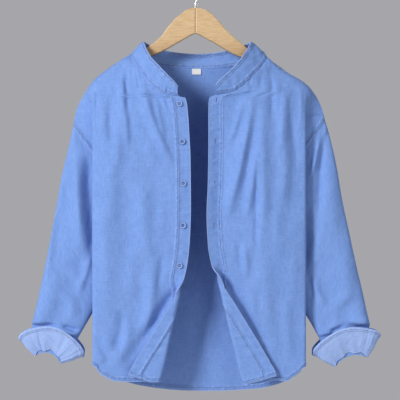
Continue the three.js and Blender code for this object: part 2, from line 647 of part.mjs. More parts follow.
function addButton(name, foot, outward) {
  const profile = BUTTON_PROFILE.map((p) => new THREE.Vector2(p.radius, p.height));
  const geometry = new THREE.LatheGeometry(profile, BUTTON_SIDES);
  const mesh = new THREE.Mesh(geometry, new THREE.MeshStandardMaterial(SHELL));
  mesh.name = name;
  mesh.position.copy(foot);
  mesh.quaternion.setFromUnitVectors(new THREE.Vector3(0, 1, 0), outward);
  shirt.add(mesh);
}

// Point and outward direction on the right side of a front's cloth, at a distance in from its edge.
function onFront(side, drop, inset) {
  const path = frontPath(side, drop);
  let left = inset;
  let j = 0;
  let step = 0;
  for (;;) {
    step = Math.hypot(path[j + 1][0] - path[j][0], path[j + 1][1] - path[j][1]);
    if (left <= step) break;
    left -= step;
    j += 1;
  }
  const t = left / step;
  const reach = mix(path[j][0], path[j + 1][0], t);
  const depth = mix(path[j][1], path[j + 1][1], t);
  const along = new THREE.Vector2(path[j + 1][0] - path[j][0], path[j + 1][1] - path[j][1]).normalize();
  const outward = new THREE.Vector3(-side.sign * along.y, -along.x, 0);
  const point = new THREE.Vector3(side.sign * reach, -depth, -drop);
  return { point: point.addScaledVector(outward, CLOTH / 2 + BUTTON_GAP), outward };
}

// Cloth pieces
const grids = {};
Object.values(SIDES).forEach((side) => {
  grids[side.name] = frontGrid(side);
  clothWall(`front_${side.name}`, grids[side.name], CLOTH, FABRIC);
  const away = (CLOTH + FACING_CLOTH) / 2 + LAID_ON_GAP;
  const belowNeck = side.rows.findIndex((row) => row >= side.neck[side.neck.length - 1].drop);
  const facing = laidOn(grids[side.name].slice(belowNeck), FACING_STEPS, side.sign * away);
  clothWall(`placket_${side.name}`, facing, FACING_CLOTH, FABRIC);
  clothWall(`sleeve_${side.name}`, sleeveGrid(side), CLOTH, FABRIC, true);
  clothWall(`cuff_${side.name}`, cuffGrid(side), CLOTH, FABRIC, true);
});
const back = backGrid();
clothWall('back', back, CLOTH, FABRIC);
clothWall('collar', collarGrid(), CLOTH, FABRIC);

BUTTON_DROPS.forEach((drop, i) => {
  const { point, outward } = onFront(SIDES.left, drop, BUTTON_INSET);
  addButton(`button_${i + 1}`, point, outward);
});

// The blank neck label hangs inside the back, just under the collar seam.
const labelDepth = neckLine.getPoint(0.5).y - (CLOTH + LABEL_CLOTH) / 2 - NECK_LABEL.gap;
const labelGrid = [0, 1].map((down) => [0, 1].map((side) => [
  NECK_LABEL.across + NECK_LABEL.wide * (side - 0.5),
  labelDepth - NECK_LABEL.lean * down,
  -NECK_LABEL.drop - NECK_LABEL.high * down,
]));
clothWall('neck_label', labelGrid, LABEL_CLOTH, LABEL);

// Wooden hanger: the upper and lower line of each arm, from the middle out to the rounded end.
const ARM = {
  left: table(['reach', 'top', 'bottom'],
    [[0, 62, 119], [6, 62.5, 121], [21, 66.5, 129], [45, 86, 143], [64, 108, 154], [76, 125.5, 160],
      [91, 138.5, 166.5], [110, 152, 174], [124, 161.5, 182], [133, 169, 187], [160, 181, 203],
      [185, 197, 219], [202, 210, 229]]),
  right: table(['reach', 'top', 'bottom'],
    [[0, 62, 119], [6, 62, 121], [21, 65.5, 129], [38.5, 77, 138.5], [56, 97, 149], [67, 110, 156],
      [85, 127.5, 165.5], [115, 151.5, 178], [134, 164.5, 188], [144, 171.5, 193], [160, 180.5, 203],
      [185, 195.5, 219], [203, 209.5, 230]]),
};
const ARM_END = { out: 6, share: 0.4 };
Object.entries(ARM).forEach(([name, rows]) => {
  const { sign } = SIDES[name];
  const end = rows[rows.length - 1];
  const across = (reach) => sign * (reach + HALF_GAP / 2);
  const points = [
    ...rows.map((row) => new THREE.Vector2(across(row.reach), -row.top)),
    new THREE.Vector2(across(end.reach + ARM_END.out), -mix(end.top, end.bottom, ARM_END.share)),
    ...rows.slice().reverse().map((row) => new THREE.Vector2(across(row.reach), -row.bottom)),
  ];
  const geometry = new THREE.ExtrudeGeometry(new THREE.Shape(points), {
    depth: HANGER_THICK - 2 * HANGER_BEVEL,
    bevelThickness: HANGER_BEVEL,
    bevelSize: HANGER_BEVEL,
    bevelOffset: -HANGER_BEVEL,
    bevelSegments: BEVEL_STEPS,
  });
  geometry.translate(0, 0, -HANGER_THICK / 2 + HANGER_BEVEL);
  geometry.rotateX(Math.PI / 2);
  const mesh = new THREE.Mesh(geometry, new THREE.MeshStandardMaterial(WOOD));
  mesh.name = `hanger_${name}`;
  shirt.add(mesh);
});

// Ferrule and hook: wire from the top of the wood, swung to one side and round over the top.
const WOOD_TOP = 62;
const FERRULE_SIDES = 16;
const FERRULE = table(['radius', 'height'], [[0, 0.3], [5, 0.3], [5, 2.2], [3.6, 3.2], [3.6, 6.5], [0, 6.5]]);
const ferrule = new THREE.Mesh(
  new THREE.LatheGeometry(FERRULE.map((p) => new THREE.Vector2(p.radius, p.height)), FERRULE_SIDES),
  new THREE.MeshStandardMaterial(STEEL));
ferrule.name = 'hanger_ferrule';
ferrule.geometry.rotateX(Math.PI / 2);
ferrule.position.z = -WOOD_TOP;
shirt.add(ferrule);

const wireRadius = HOOK_INNER + HOOK_WIRE;
const HOOK_START = -58;
const HOOK_END = 205;
const HOOK_POINTS = 12;
const SHANK = table(['x', 'z'], [[0, -55.2], [0, -51], [4, -44]]);
const hookPoints = SHANK.map((point) => [point.x, point.z]);
for (let angle = HOOK_START; angle <= HOOK_END; angle += (HOOK_END - HOOK_START) / HOOK_POINTS) {
  const turn = THREE.MathUtils.degToRad(angle);
  hookPoints.push([wireRadius * Math.cos(turn), wireRadius * Math.sin(turn) - HOOK_INNER]);
}
const hookLine = new THREE.CatmullRomCurve3(hookPoints.map(([x, z]) => new THREE.Vector3(x, 0, z)));
const wireSection = new THREE.Shape();
for (let k = 0; k < HOOK_SIDES; k += 1) {
  const turn = (2 * Math.PI * k) / HOOK_SIDES;
  const move = k === 0 ? 'moveTo' : 'lineTo';
  wireSection[move](HOOK_WIRE * Math.cos(turn), HOOK_WIRE * Math.sin(turn));
}
const hook = new THREE.Mesh(
  new THREE.ExtrudeGeometry(wireSection, { steps: HOOK_STEPS, extrudePath: hookLine }),
  new THREE.MeshStandardMaterial(STEEL));
hook.name = 'hanger_hook';
shirt.add(hook);

export default shirt;
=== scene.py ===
"""A loose mandarin collar shirt on a wooden hanger, in metres, +Z up, the front of the shirt facing -Y.

The origin is the inside top of the hanger's hook. Sizes are written in millimetres. "drop" is below the
origin, "reach" out from the hanger's middle, and "depth" in front of (for the back, behind) its plane.
Left and right are those of someone who faces the shirt.
"""
import json
import math

import bpy
import numpy as np
from mathutils import Vector
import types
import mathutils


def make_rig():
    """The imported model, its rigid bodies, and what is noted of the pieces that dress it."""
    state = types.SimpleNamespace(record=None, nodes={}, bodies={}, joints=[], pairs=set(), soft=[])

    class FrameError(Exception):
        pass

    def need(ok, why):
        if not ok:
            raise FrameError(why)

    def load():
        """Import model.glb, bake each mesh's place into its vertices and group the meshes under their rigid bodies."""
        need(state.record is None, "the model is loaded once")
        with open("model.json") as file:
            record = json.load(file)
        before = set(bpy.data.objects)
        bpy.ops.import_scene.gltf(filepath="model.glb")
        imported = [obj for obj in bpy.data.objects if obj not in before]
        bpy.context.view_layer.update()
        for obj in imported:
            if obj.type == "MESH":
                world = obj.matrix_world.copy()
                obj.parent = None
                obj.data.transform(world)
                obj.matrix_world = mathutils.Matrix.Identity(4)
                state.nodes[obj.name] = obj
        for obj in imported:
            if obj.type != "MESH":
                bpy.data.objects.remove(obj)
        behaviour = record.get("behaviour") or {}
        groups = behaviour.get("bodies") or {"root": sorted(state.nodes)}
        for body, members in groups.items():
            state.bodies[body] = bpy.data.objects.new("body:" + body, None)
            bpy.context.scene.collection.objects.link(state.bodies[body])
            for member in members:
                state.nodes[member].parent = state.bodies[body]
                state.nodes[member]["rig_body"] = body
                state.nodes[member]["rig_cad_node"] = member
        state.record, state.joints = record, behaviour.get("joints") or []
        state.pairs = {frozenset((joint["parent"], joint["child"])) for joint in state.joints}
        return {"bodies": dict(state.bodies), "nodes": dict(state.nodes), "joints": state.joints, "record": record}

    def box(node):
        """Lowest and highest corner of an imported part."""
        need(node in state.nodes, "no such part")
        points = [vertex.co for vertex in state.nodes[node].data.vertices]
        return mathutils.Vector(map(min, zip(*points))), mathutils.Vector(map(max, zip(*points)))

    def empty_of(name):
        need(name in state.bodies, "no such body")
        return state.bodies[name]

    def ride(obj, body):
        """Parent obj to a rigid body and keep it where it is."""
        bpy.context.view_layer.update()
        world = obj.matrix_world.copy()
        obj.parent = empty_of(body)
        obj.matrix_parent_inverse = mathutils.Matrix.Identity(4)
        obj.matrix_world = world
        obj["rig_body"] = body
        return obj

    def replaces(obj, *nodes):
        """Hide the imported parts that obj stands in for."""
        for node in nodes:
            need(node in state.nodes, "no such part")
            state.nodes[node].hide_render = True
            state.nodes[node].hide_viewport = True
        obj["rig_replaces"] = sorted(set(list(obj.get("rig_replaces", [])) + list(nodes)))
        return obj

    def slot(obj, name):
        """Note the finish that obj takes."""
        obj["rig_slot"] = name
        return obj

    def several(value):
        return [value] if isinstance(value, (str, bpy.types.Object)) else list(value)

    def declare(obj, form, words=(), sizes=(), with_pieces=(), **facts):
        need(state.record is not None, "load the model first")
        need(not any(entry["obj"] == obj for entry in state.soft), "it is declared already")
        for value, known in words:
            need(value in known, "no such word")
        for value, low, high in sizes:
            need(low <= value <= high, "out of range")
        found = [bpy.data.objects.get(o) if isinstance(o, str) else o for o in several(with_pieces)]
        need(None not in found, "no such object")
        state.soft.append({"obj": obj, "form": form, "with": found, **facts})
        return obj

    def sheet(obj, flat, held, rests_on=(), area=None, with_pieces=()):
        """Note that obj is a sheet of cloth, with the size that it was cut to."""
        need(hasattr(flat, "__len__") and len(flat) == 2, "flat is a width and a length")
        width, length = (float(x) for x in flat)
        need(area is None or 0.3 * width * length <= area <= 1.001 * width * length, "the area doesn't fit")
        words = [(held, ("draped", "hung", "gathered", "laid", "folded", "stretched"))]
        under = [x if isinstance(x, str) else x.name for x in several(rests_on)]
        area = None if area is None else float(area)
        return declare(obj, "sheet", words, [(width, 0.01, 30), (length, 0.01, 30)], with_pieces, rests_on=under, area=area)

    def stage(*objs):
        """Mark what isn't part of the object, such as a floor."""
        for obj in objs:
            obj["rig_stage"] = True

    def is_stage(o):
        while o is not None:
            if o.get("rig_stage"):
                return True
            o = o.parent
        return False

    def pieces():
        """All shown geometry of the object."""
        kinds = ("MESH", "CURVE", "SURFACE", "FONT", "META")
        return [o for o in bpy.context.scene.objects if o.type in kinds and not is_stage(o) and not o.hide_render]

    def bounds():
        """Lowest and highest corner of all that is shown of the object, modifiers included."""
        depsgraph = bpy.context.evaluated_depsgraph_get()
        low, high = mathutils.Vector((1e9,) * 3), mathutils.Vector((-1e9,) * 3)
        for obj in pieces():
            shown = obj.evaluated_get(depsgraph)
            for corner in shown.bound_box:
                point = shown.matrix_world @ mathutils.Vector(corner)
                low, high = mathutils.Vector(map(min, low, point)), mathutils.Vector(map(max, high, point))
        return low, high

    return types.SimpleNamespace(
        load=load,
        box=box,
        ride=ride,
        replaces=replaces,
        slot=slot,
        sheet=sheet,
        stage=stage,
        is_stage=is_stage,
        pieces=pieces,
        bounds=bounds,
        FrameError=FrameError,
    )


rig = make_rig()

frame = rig.load()
cad_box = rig.bounds()
MM = 0.001

# Cloth and sewing, in millimetres
CLOTH = 0.6
HEM_CLOTH = 1.5
HEM_DEPTH = 7
COLLAR_CLOTH = 1.9
CUFF_CLOTH = 1.5
FACING_CLOTH = 0.7
FACING_AWAY = 1.15
FACING_WIDTH = 30
SEAM_GAP = 0.4
COLLAR_LAP = 1.2
SLEEVE_LAP = 2.2
SLEEVE_OVER = 0.75

# Folds of the fronts
TURN_RADIUS = 6
TURN_START = 32
TURN_LENGTH = 50
EDGE_STRIP = 4
EDGE_SHARE = 0.3
CREASE_START = 235
CREASE_LENGTH = 60
UNDERARM_BLEND = 30
RIDGE_ROUNDING = 28
RIDGE_SHARE = 0.45
FOLD_INSET = 8
FLATTER = 9
SETTLED = 298
TURNED_WIDTH = 95
PLAIN_WIDTH = 180
SQUARENESS = 3.2

# A front's places across, counted as its stations: the facing ends at 6, the strip that may be turned
# out at 16, the main panel at 22, and the fold in front of the sleeve and its layers at 32
FACING_END, STRIP_END, MAIN_END, SIDE_END = 6, 16, 22, 32
# The back's: its side layers end at 10, its main panel at 24, and the other side's layers at 34
BACK_SIDE, BACK_MAIN, BACK_END = 10, 24, 34


def table(columns, *rows):
    """Named columns of a short table, each an array."""
    return dict(zip(columns.split(), np.array(rows, float).T))


COLLAR = table(
    "seam_x seam_drop seam_y top_x top_drop top_y",
    (-37.5, 259, -50, -38, 240, -55), (-50, 258, -49.5, -47, 228, -55.5),
    (-66, 254, -49, -58, 217, -55), (-88, 243, -46, -74, 200, -51),
    (-113, 215, -38, -96, 176, -42), (-134, 187, -22, -108, 154, -25),
    (-142, 170, -8, -114, 139, -9), (-139.5, 162, 0, -114, 137, 0),
    (-132, 169, 11, -109, 139, 11), (-110, 180, 25, -90, 147, 30),
    (-60, 190, 35, -50, 156, 40), (0, 192.5, 38, 0, 160, 43),
    (62, 190, 35, 52, 156, 40), (118, 180, 25, 97, 146, 30),
    (145, 171, 11, 118, 139, 11), (153, 165.5, 0, 123, 137, 0),
    (157, 173, -9, 122, 139, -9), (147, 190, -24, 112, 158, -26),
    (128, 210, -37, 97, 180, -42), (106, 232, -44, 77, 203, -50),
    (85, 248, -47, 62, 217, -54), (62, 253, -49, 51, 227, -55.5),
    (45, 257, -50, 43.5, 237, -55))
COLLAR_BULGE = 2.5
LEFT_NECK_STATION, RIGHT_NECK_STATION = 7, 15

# Sizes of each side. ridge: the shoulder line. edge: the front edge. flap: the turned corner, from its
# fold to the front edge that lies outward. hem: by station across, 0 at the front edge, 1 at the turned
# fold, 2 at the fold in front of the sleeve, 3 at the side seam. sleeve: outlines of the flat tube and half
# its depth. wrist and cuff: fans about one centre.
SIDES = {
    "left": dict(
        sign=-1, fold=226.6, neck=(0, LEFT_NECK_STATION), top=166,
        ridge=table("drop reach", (162, 139.5), (174, 159.5), (209, 210), (224, 226.6), (255, 247.5),
                    (284, 262), (315, 270)),
        arm=(270, 315, 155, 473),
        edge=table("drop reach", (262, 36), (265, 22), (298, 16.5), (337, 14), (396, 11), (499, 10),
                   (568, 12), (607, 15), (640, 20), (682, 32)),
        flap=table("drop fold free", (682, 32, 32), (733, 43, 64), (801, 57, 106), (857, 69, 141),
                   (871, 73, 147), (887, 78, 147)),
        hem=table("station drop", (0, 871), (0.4, 880), (0.8, 887.5), (1, 887), (1.3, 888),
                  (1.68, 886.6), (1.81, 880), (1.95, 869), (2, 857), (3, 838)),
        folds=((165, 260, 170, 400, 11, 5), (140, 250, 88, 400, 14, 5), (120, 470, 95, 690, 20, 4),
               (205, 790, 160, 850, 13, 6)),
        sleeve=table("out_reach out_drop in_reach in_drop half",
                     (270, 315, 159, 473, 11), (285, 387, 160, 500, 12), (296, 433, 164, 535, 12),
                     (307, 495, 173, 580, 12), (322, 576, 189, 640, 12), (333, 632.5, 204, 690, 13),
                     (347.5, 699.5, 227.5, 736, 15), (355, 733, 245.5, 768, 17),
                     (360.8, 756, 256.8, 787.5, 19.5), (363, 764.5, 261, 795, 12.5)),
        wrist=table("radius spread half", (84, 36, 11), (62, 41, 10), (45, 48, 9.4), (35, 55, 9)),
        cuff=dict(reach=333, drop=861, tilt=15.5, spread=58.5, mouth=35, rim=94)),
    "right": dict(
        sign=1, fold=242.7, neck=(22, RIGHT_NECK_STATION), top=169,
        ridge=table("drop reach", (165.5, 153), (175, 163.5), (200, 195), (224.5, 236.5), (242, 256),
                    (275, 276), (301.5, 285)),
        arm=(285, 301.5, 168, 473),
        edge=table("drop reach", (259, 43), (264, 31), (279, 28.5), (356, 28.5), (444, 27.5),
                   (519, 24.5), (587, 27.5), (625, 34), (655, 46.5)),
        flap=table("drop fold free", (655, 46.5, 46.5), (674.5, 52, 59.5), (710.5, 60.5, 83.5),
                   (756, 70, 111.5), (818, 85.5, 149), (840, 90, 161.5), (873, 98.5, 177),
                   (893, 105.5, 177)),
        hem=table("station drop", (0, 873.5), (0.5, 884), (0.9, 891), (1, 893), (1.25, 890),
                  (1.55, 884.5), (1.71, 886.5), (1.88, 873.5), (1.97, 864), (2, 859), (3, 838)),
        folds=((120, 262, 98, 400, 12, 7), (98, 400, 70, 520, 14, 6), (150, 245, 132, 470, 15, 6),
               (198, 265, 195, 480, 13, 4), (140, 640, 165, 840, 22, 4)),
        sleeve=table("out_reach out_drop in_reach in_drop half",
                     (285, 301.5, 173, 473, 11), (298, 349, 173, 500, 12), (313.5, 418, 177, 538, 12),
                     (324.5, 484, 187, 585, 12), (344, 576, 205, 645, 12), (357.5, 638, 220, 692, 13),
                     (372, 699.5, 244, 741, 15), (379.5, 735, 260, 768, 17),
                     (384.6, 756, 270.2, 787, 19.5), (386.5, 764, 274, 794, 12.5)),
        wrist=table("radius spread half", (104, 30, 11), (80, 34, 10), (62, 38, 9.4), (52, 44, 9)),
        cuff=dict(reach=356, drop=883.5, tilt=16, spread=46.5, mouth=52, rim=115)),
}
MOUTH_HALF, RIM_HALF = 11.5, 24
MOUTH_ARCH = 7

SIDE_DEPTH = table("drop depth", (162, 3), (180, 12), (200, 19), (230, 24), (260, 26), (900, 26))
FRONT_DEPTH = table("drop depth", (162, 2), (170, 8), (187, 22), (200, 30), (215, 38), (230, 43), (243, 46.5),
                    (262, 49), (300, 48), (400, 46), (550, 44), (650, 41), (760, 37),
                    (890, 34))
BACK_DEPTH = table("drop depth", (190, 37), (300, 40), (600, 36), (900, 31))
TUCK = table("drop depth", (235, 0), (300, 6), (345, 14), (376, 24), (415, 48), (445, 66), (473, 80),
             (540, 80), (600, 76), (700, 66), (800, 58), (857, 52))
NOMINAL_HEM, HEM_BLEND = 880, 240
BACK_TOP, BACK_NOMINAL_HEM, BACK_TOP_BLEND, BACK_TOP_ROUNDNESS = 205, 900, 75, 2.5
BACK_SHOULDER = (158, 170, 2)
SIDE_SEAM_HEM = 838
BACK_HEM = table("across drop", (-226, 857), (-219, 869), (-186, 884.5), (-148, 897.5), (-102, 907.5),
                 (-36, 914.5), (10, 916), (38, 916), (135, 911), (178, 902), (212, 888), (234, 873.5),
                 (242.5, 859))
BACK_FOLDS = ((-120, 240, -90, 520, 22, 5), (110, 240, 95, 560, 24, 6), (-30, 420, -45, 860, 26, 4),
              (160, 480, 140, 850, 20, 5))
BUTTONHOLES = ((269, 0.35), (360, 0), (452, 0), (544, 0), (634, 0), (763, 0))


def mix(a, b, t):
    """A value a share t of the way from a to b."""
    return a + (b - a) * t


def smooth(t):
    """A soft step: 0 below 0, 1 above 1, and the cubic 3t^2 - 2t^3 between them."""
    t = np.clip(t, 0, 1)
    return t * t * (3 - 2 * t)


def read(rows, key, at, column):
    """A table read smoothly between its rows: a cubic whose slope at each row is the harmonic mean of the
    slopes on both sides of it, so that it never overshoots."""
    x, y = rows[key], rows[column]
    secant = np.diff(y) / np.diff(x)
    before, after = secant[:-1], secant[1:]
    same = before * after > 0
    inner = np.where(same, 2 * before * after / np.where(same, before + after, 1), 0)
    slope = np.concatenate([secant[:1], inner, secant[-1:]])
    at = np.clip(at, x[0], x[-1])
    i = np.clip(np.searchsorted(x, at, side="right") - 1, 0, len(x) - 2)
    span = x[i + 1] - x[i]
    t = (at - x[i]) / span
    value = y[i] * (1 + 2 * t) * (1 - t) ** 2 + y[i + 1] * t * t * (3 - 2 * t)
    return value + span * (slope[i] * t * (1 - t) ** 2 - slope[i + 1] * t * t * (1 - t))


def curve_through(points, t):
    """Points at shares t of a smooth curve through the given points: a Catmull-Rom cubic whose knots lie
    the square root of the distances apart."""
    points = np.asarray(points, float)
    ends = np.concatenate([[2 * points[0] - points[1]], points, [2 * points[-1] - points[-2]]])
    place = np.clip(np.asarray(t, float), 0, 1) * (len(points) - 1)
    i = np.minimum(place.astype(int), len(points) - 2)
    w = (place - i)[..., None]
    p0, p1, p2, p3 = ends[i], ends[i + 1], ends[i + 2], ends[i + 3]
    d0, d1, d2 = (np.sqrt(np.linalg.norm(b - a, axis=-1, keepdims=True))
                  for a, b in ((p0, p1), (p1, p2), (p2, p3)))
    m1 = ((p1 - p0) / d0 - (p2 - p0) / (d0 + d1) + (p2 - p1) / d1) * d1
    m2 = ((p2 - p1) / d1 - (p3 - p1) / (d1 + d2) + (p3 - p2) / d2) * d1
    return (p1 + m1 * w + (3 * (p2 - p1) - 2 * m1 - m2) * w ** 2
            + (2 * (p1 - p2) + m1 + m2) * w ** 3)


def even_cubic(stack, at):
    """Values at fractional places along the last axis of a stack, by the Catmull-Rom cubic of four
    neighbours."""
    last = stack.shape[-1] - 1
    i = np.clip(np.floor(at).astype(int), 0, last - 1)
    t = at - i
    pick = lambda k: np.take_along_axis(stack, np.clip(k, 0, last)[..., None], -1)[..., 0]
    p1, p2 = pick(i), pick(i + 1)
    p0 = np.where(i == 0, 2 * p1 - p2, pick(i - 1))
    p3 = np.where(i + 1 == last, 2 * p2 - p1, pick(i + 2))
    return p1 + 0.5 * t * (p2 - p0 + t * (2 * p0 - 5 * p1 + 4 * p2 - p3
                                          + t * (3 * (p1 - p2) + p3 - p0)))


def noise(seed, x, y, wave_x, wave_y):
    """Smooth unevenness from about -1 to 1: a sum of twelve plane waves with seeded directions and
    lengths near the given ones."""
    rng = np.random.default_rng(seed)
    total = np.zeros(np.broadcast(x, y).shape)
    for turn, length, phase in rng.random((12, 3)):
        angle = 2 * math.pi * turn
        scale = 0.7 + 0.8 * length
        wave = x / wave_x * math.cos(angle) + y / wave_y * math.sin(angle)
        total += np.sin(2 * math.pi * (wave / scale + phase))
    return total / 3.6


COLLAR_SEAM = np.stack([COLLAR["seam_x"], COLLAR["seam_y"], -COLLAR["seam_drop"]], 1)
COLLAR_TOP = np.stack([COLLAR["top_x"], COLLAR["top_y"], -COLLAR["top_drop"]], 1)
LAST_STATION = len(COLLAR_SEAM) - 1


def neck_edge(side):
    """The neck seam of one front as a table by drop, from the shoulder line down to the front edge."""
    front, ridge = (station / LAST_STATION for station in side["neck"])
    points = curve_through(COLLAR_SEAM, np.linspace(ridge, front, 161))
    drop = -points[:, 2]
    falling = np.concatenate([[True], drop[1:] > np.maximum.accumulate(drop)[:-1]])
    return dict(drop=drop[falling], reach=points[falling, 0] * side["sign"], depth=-points[falling, 1])


for each_side in SIDES.values():
    each_side["neck_edge"] = neck_edge(each_side)


def fold_height(folds, across, drop):
    """Soft folds: along each row's straight line a rounded ridge, a bell curve across, fading at its
    ends."""
    total = np.zeros(np.shape(across))
    for from_x, from_drop, to_x, to_drop, width, height in folds:
        length = math.hypot(to_x - from_x, to_drop - from_drop)
        ux, ud = (to_x - from_x) / length, (to_drop - from_drop) / length
        along = (across - from_x) * ux + (drop - from_drop) * ud
        off = np.abs((across - from_x) * ud - (drop - from_drop) * ux)
        ends = smooth(along / 50 + 0.5) * smooth((length - along) / 50 + 0.5)
        total = total + height * ends * np.exp(-(off / width) ** 2)
    return total


def crease_height(creases, across, drop):
    """Creases, given one by one: each runs from one point to another with a bow to one side. Its section
    is a bell that is steeper on one side by its lean, with a shallow trough (or for a trough, a shallow
    swell) beside it, and it grows from its ends over a third of its length."""
    total = np.zeros(np.shape(across))
    for from_x, from_drop, to_x, to_drop, bow, width, height, lean in creases:
        length = math.hypot(to_x - from_x, to_drop - from_drop)
        ux, ud = (to_x - from_x) / length, (to_drop - from_drop) / length
        along = ((across - from_x) * ux + (drop - from_drop) * ud) / length
        off = (across - from_x) * ud - (drop - from_drop) * ux - bow * (1 - (2 * along - 1) ** 2)
        ends = smooth(along * 3) * smooth((1 - along) * 3)
        wide = width * np.where(off > 0, 1 + lean, 1 - lean)
        bell = np.exp(-(off / wide) ** 2) - 0.35 * np.exp(-((off - 1.9 * wide) / (1.3 * wide)) ** 2)
        total = total + height * ends * bell
    return total


def outer_seam(side, drop):
    """Where a row ends: at the shoulder line, then at the armhole's flattened ring, as reach and depth."""
    arm_reach, arm_drop, low_reach, low_drop = side["arm"]
    share = np.clip((drop - arm_drop) / (low_drop - arm_drop), 0, 1)
    ring = side["sleeve"]["half"][0] * (1 - np.abs(2 * share - 1) ** SQUARENESS) ** (1 / SQUARENESS)
    above = drop <= arm_drop
    reach = np.where(above, read(side["ridge"], "drop", drop, "reach"), mix(arm_reach, low_reach, share))
    return reach, np.where(above, SEAM_GAP, np.maximum(ring, SEAM_GAP))


def side_path(side, drop, start_reach, start_depth, at, slope):
    """The outer part of a row: round the lengthwise fold in front of the sleeve, back in behind it and out
    to the seam, at places 0 to 10. Above the crease it only rounds over the shoulder on an ellipse, which
    starts at the slope of the panel that it carries on."""
    seam_reach, seam_depth = outer_seam(side, drop)
    tuck = read(TUCK, "drop", drop, "depth")
    fold = side["fold"]
    inner = fold - tuck
    nook = np.minimum(1, tuck / FOLD_INSET)
    low = smooth((drop - side["arm"][3] + UNDERARM_BLEND) / UNDERARM_BLEND)
    turn = mix(inner + 4 * nook, inner, low), start_depth - mix(16, 17, low)
    end = mix(seam_reach, inner, low), mix(seam_depth, SEAM_GAP, low)
    reaches = [start_reach, fold - 3 + 0 * drop, fold + 0 * drop, fold - 3 * nook, fold - 0.4 * tuck,
               fold - 0.8 * tuck, inner, turn[0], mix(turn[0], end[0], 1 / 3),
               mix(turn[0], end[0], 2 / 3), end[0]]
    behind = [0, 1, 4.5, 8, 9.5, 10.5, 13]
    depths = [start_depth - d for d in behind] + [
        turn[1], mix(turn[1], end[1], 1 / 3), mix(turn[1], end[1], 2 / 3), end[1]]
    crease = smooth((drop - CREASE_START) / CREASE_LENGTH)
    angle = at / 10 * math.pi / 2
    round_reach = mix(start_reach, seam_reach, np.sin(angle))
    along = np.sin(angle)
    ease = slope * (seam_reach - start_reach) * along * (1 - along) ** 2
    round_depth = mix(seam_depth, start_depth, np.cos(angle)) - ease
    folded_reach = even_cubic(np.stack(reaches, -1), at)
    folded_depth = even_cubic(np.stack(depths, -1), at)
    return mix(round_reach, folded_reach, crease), mix(round_depth, folded_depth, crease)


def main_end(side, drop, inner):
    """Reach where the main panel ends: just inside the fold, or a little short of the shoulder line."""
    ridge, _ = outer_seam(side, np.minimum(drop, side["arm"][1]))
    rounding = np.minimum(RIDGE_ROUNDING, RIDGE_SHARE * (ridge - inner))
    return np.minimum(side["fold"] - FOLD_INSET, ridge - rounding)


def front_row(side, drop):
    """Lengths of the row at each drop: its edge, the turned strip, its turn and its main panel."""
    neck_end = side["neck_edge"]["drop"][-1]
    on_neck = drop < neck_end
    edge = np.where(on_neck, read(side["neck_edge"], "drop", drop, "reach"),
                    read(side["edge"], "drop", drop, "reach"))
    middle = read(FRONT_DEPTH, "drop", drop, "depth")
    side_depth = read(SIDE_DEPTH, "drop", drop, "depth") + FLATTER * smooth((drop - 240) / 90)
    settled = read(side["edge"], "drop", np.maximum(drop, SETTLED), "reach")
    turned = smooth((drop - side["flap"]["drop"][0] + TURN_START) / TURN_LENGTH)
    panel_end = main_end(side, drop, edge)
    scale = np.minimum(1, EDGE_SHARE * (panel_end - edge) / (math.pi * TURN_RADIUS + EDGE_STRIP))
    turn_length = math.pi * TURN_RADIUS * scale
    fold = read(side["flap"], "drop", drop, "fold") + TURN_RADIUS
    free = read(side["flap"], "drop", drop, "free")
    strip = mix(EDGE_STRIP * scale, np.maximum(free - fold, EDGE_STRIP), turned)
    start = mix(edge + turn_length + EDGE_STRIP * scale, fold, turned)
    seam_share = np.clip((panel_end - edge) / (panel_end - settled), 0, 1)
    seam_depth = read(side["neck_edge"], "drop", drop, "depth")
    at_neck = seam_depth - mix(side_depth, middle, 1 - (1 - seam_share) ** 2)
    at_neck = np.where(on_neck, at_neck * smooth((neck_end - drop) / 10), 0)
    return dict(drop=drop, neck_end=neck_end, edge=edge, middle=middle, side_depth=side_depth,
                settled=settled, at_neck=at_neck, turned=turned, end=panel_end,
                slope=2 * (middle - side_depth) / (panel_end - settled),
                turn=turn_length, strip=strip, start=start, length=strip + turn_length + panel_end - start)


def front_surface(side, row, reach):
    """Depth of the main panel at a reach: a parabola from the front edge out to its end, with the soft
    folds on it."""
    drop, edge = row["drop"], row["edge"]
    share = np.clip((row["end"] - reach) / (row["end"] - row["settled"]), 0, 1)
    open_front = smooth((drop - row["neck_end"]) / 60)
    beside_neck = mix(smooth((reach - edge) / 35), 1, open_front)
    fade = smooth(share * 6) * smooth((drop - row["neck_end"] + 40) / 40) * beside_neck
    wave = fold_height(side["folds"], reach, drop) * fade
    near = row["at_neck"] * smooth(1 - (reach - edge) / 45)
    return mix(row["side_depth"], row["middle"], 1 - (1 - share) ** 2) + wave + near


def front_along(station, length):
    """Distance along the cloth from the front edge for a station up to 22."""
    scale = np.minimum(1, length / PLAIN_WIDTH)
    facing = scale * FACING_WIDTH * station / FACING_END
    strip = scale * mix(FACING_WIDTH, TURNED_WIDTH, (station - FACING_END) / (STRIP_END - FACING_END))
    main = mix(scale * TURNED_WIDTH, length, (station - STRIP_END) / (MAIN_END - STRIP_END))
    return np.where(station < FACING_END, facing, np.where(station < STRIP_END, strip, main))


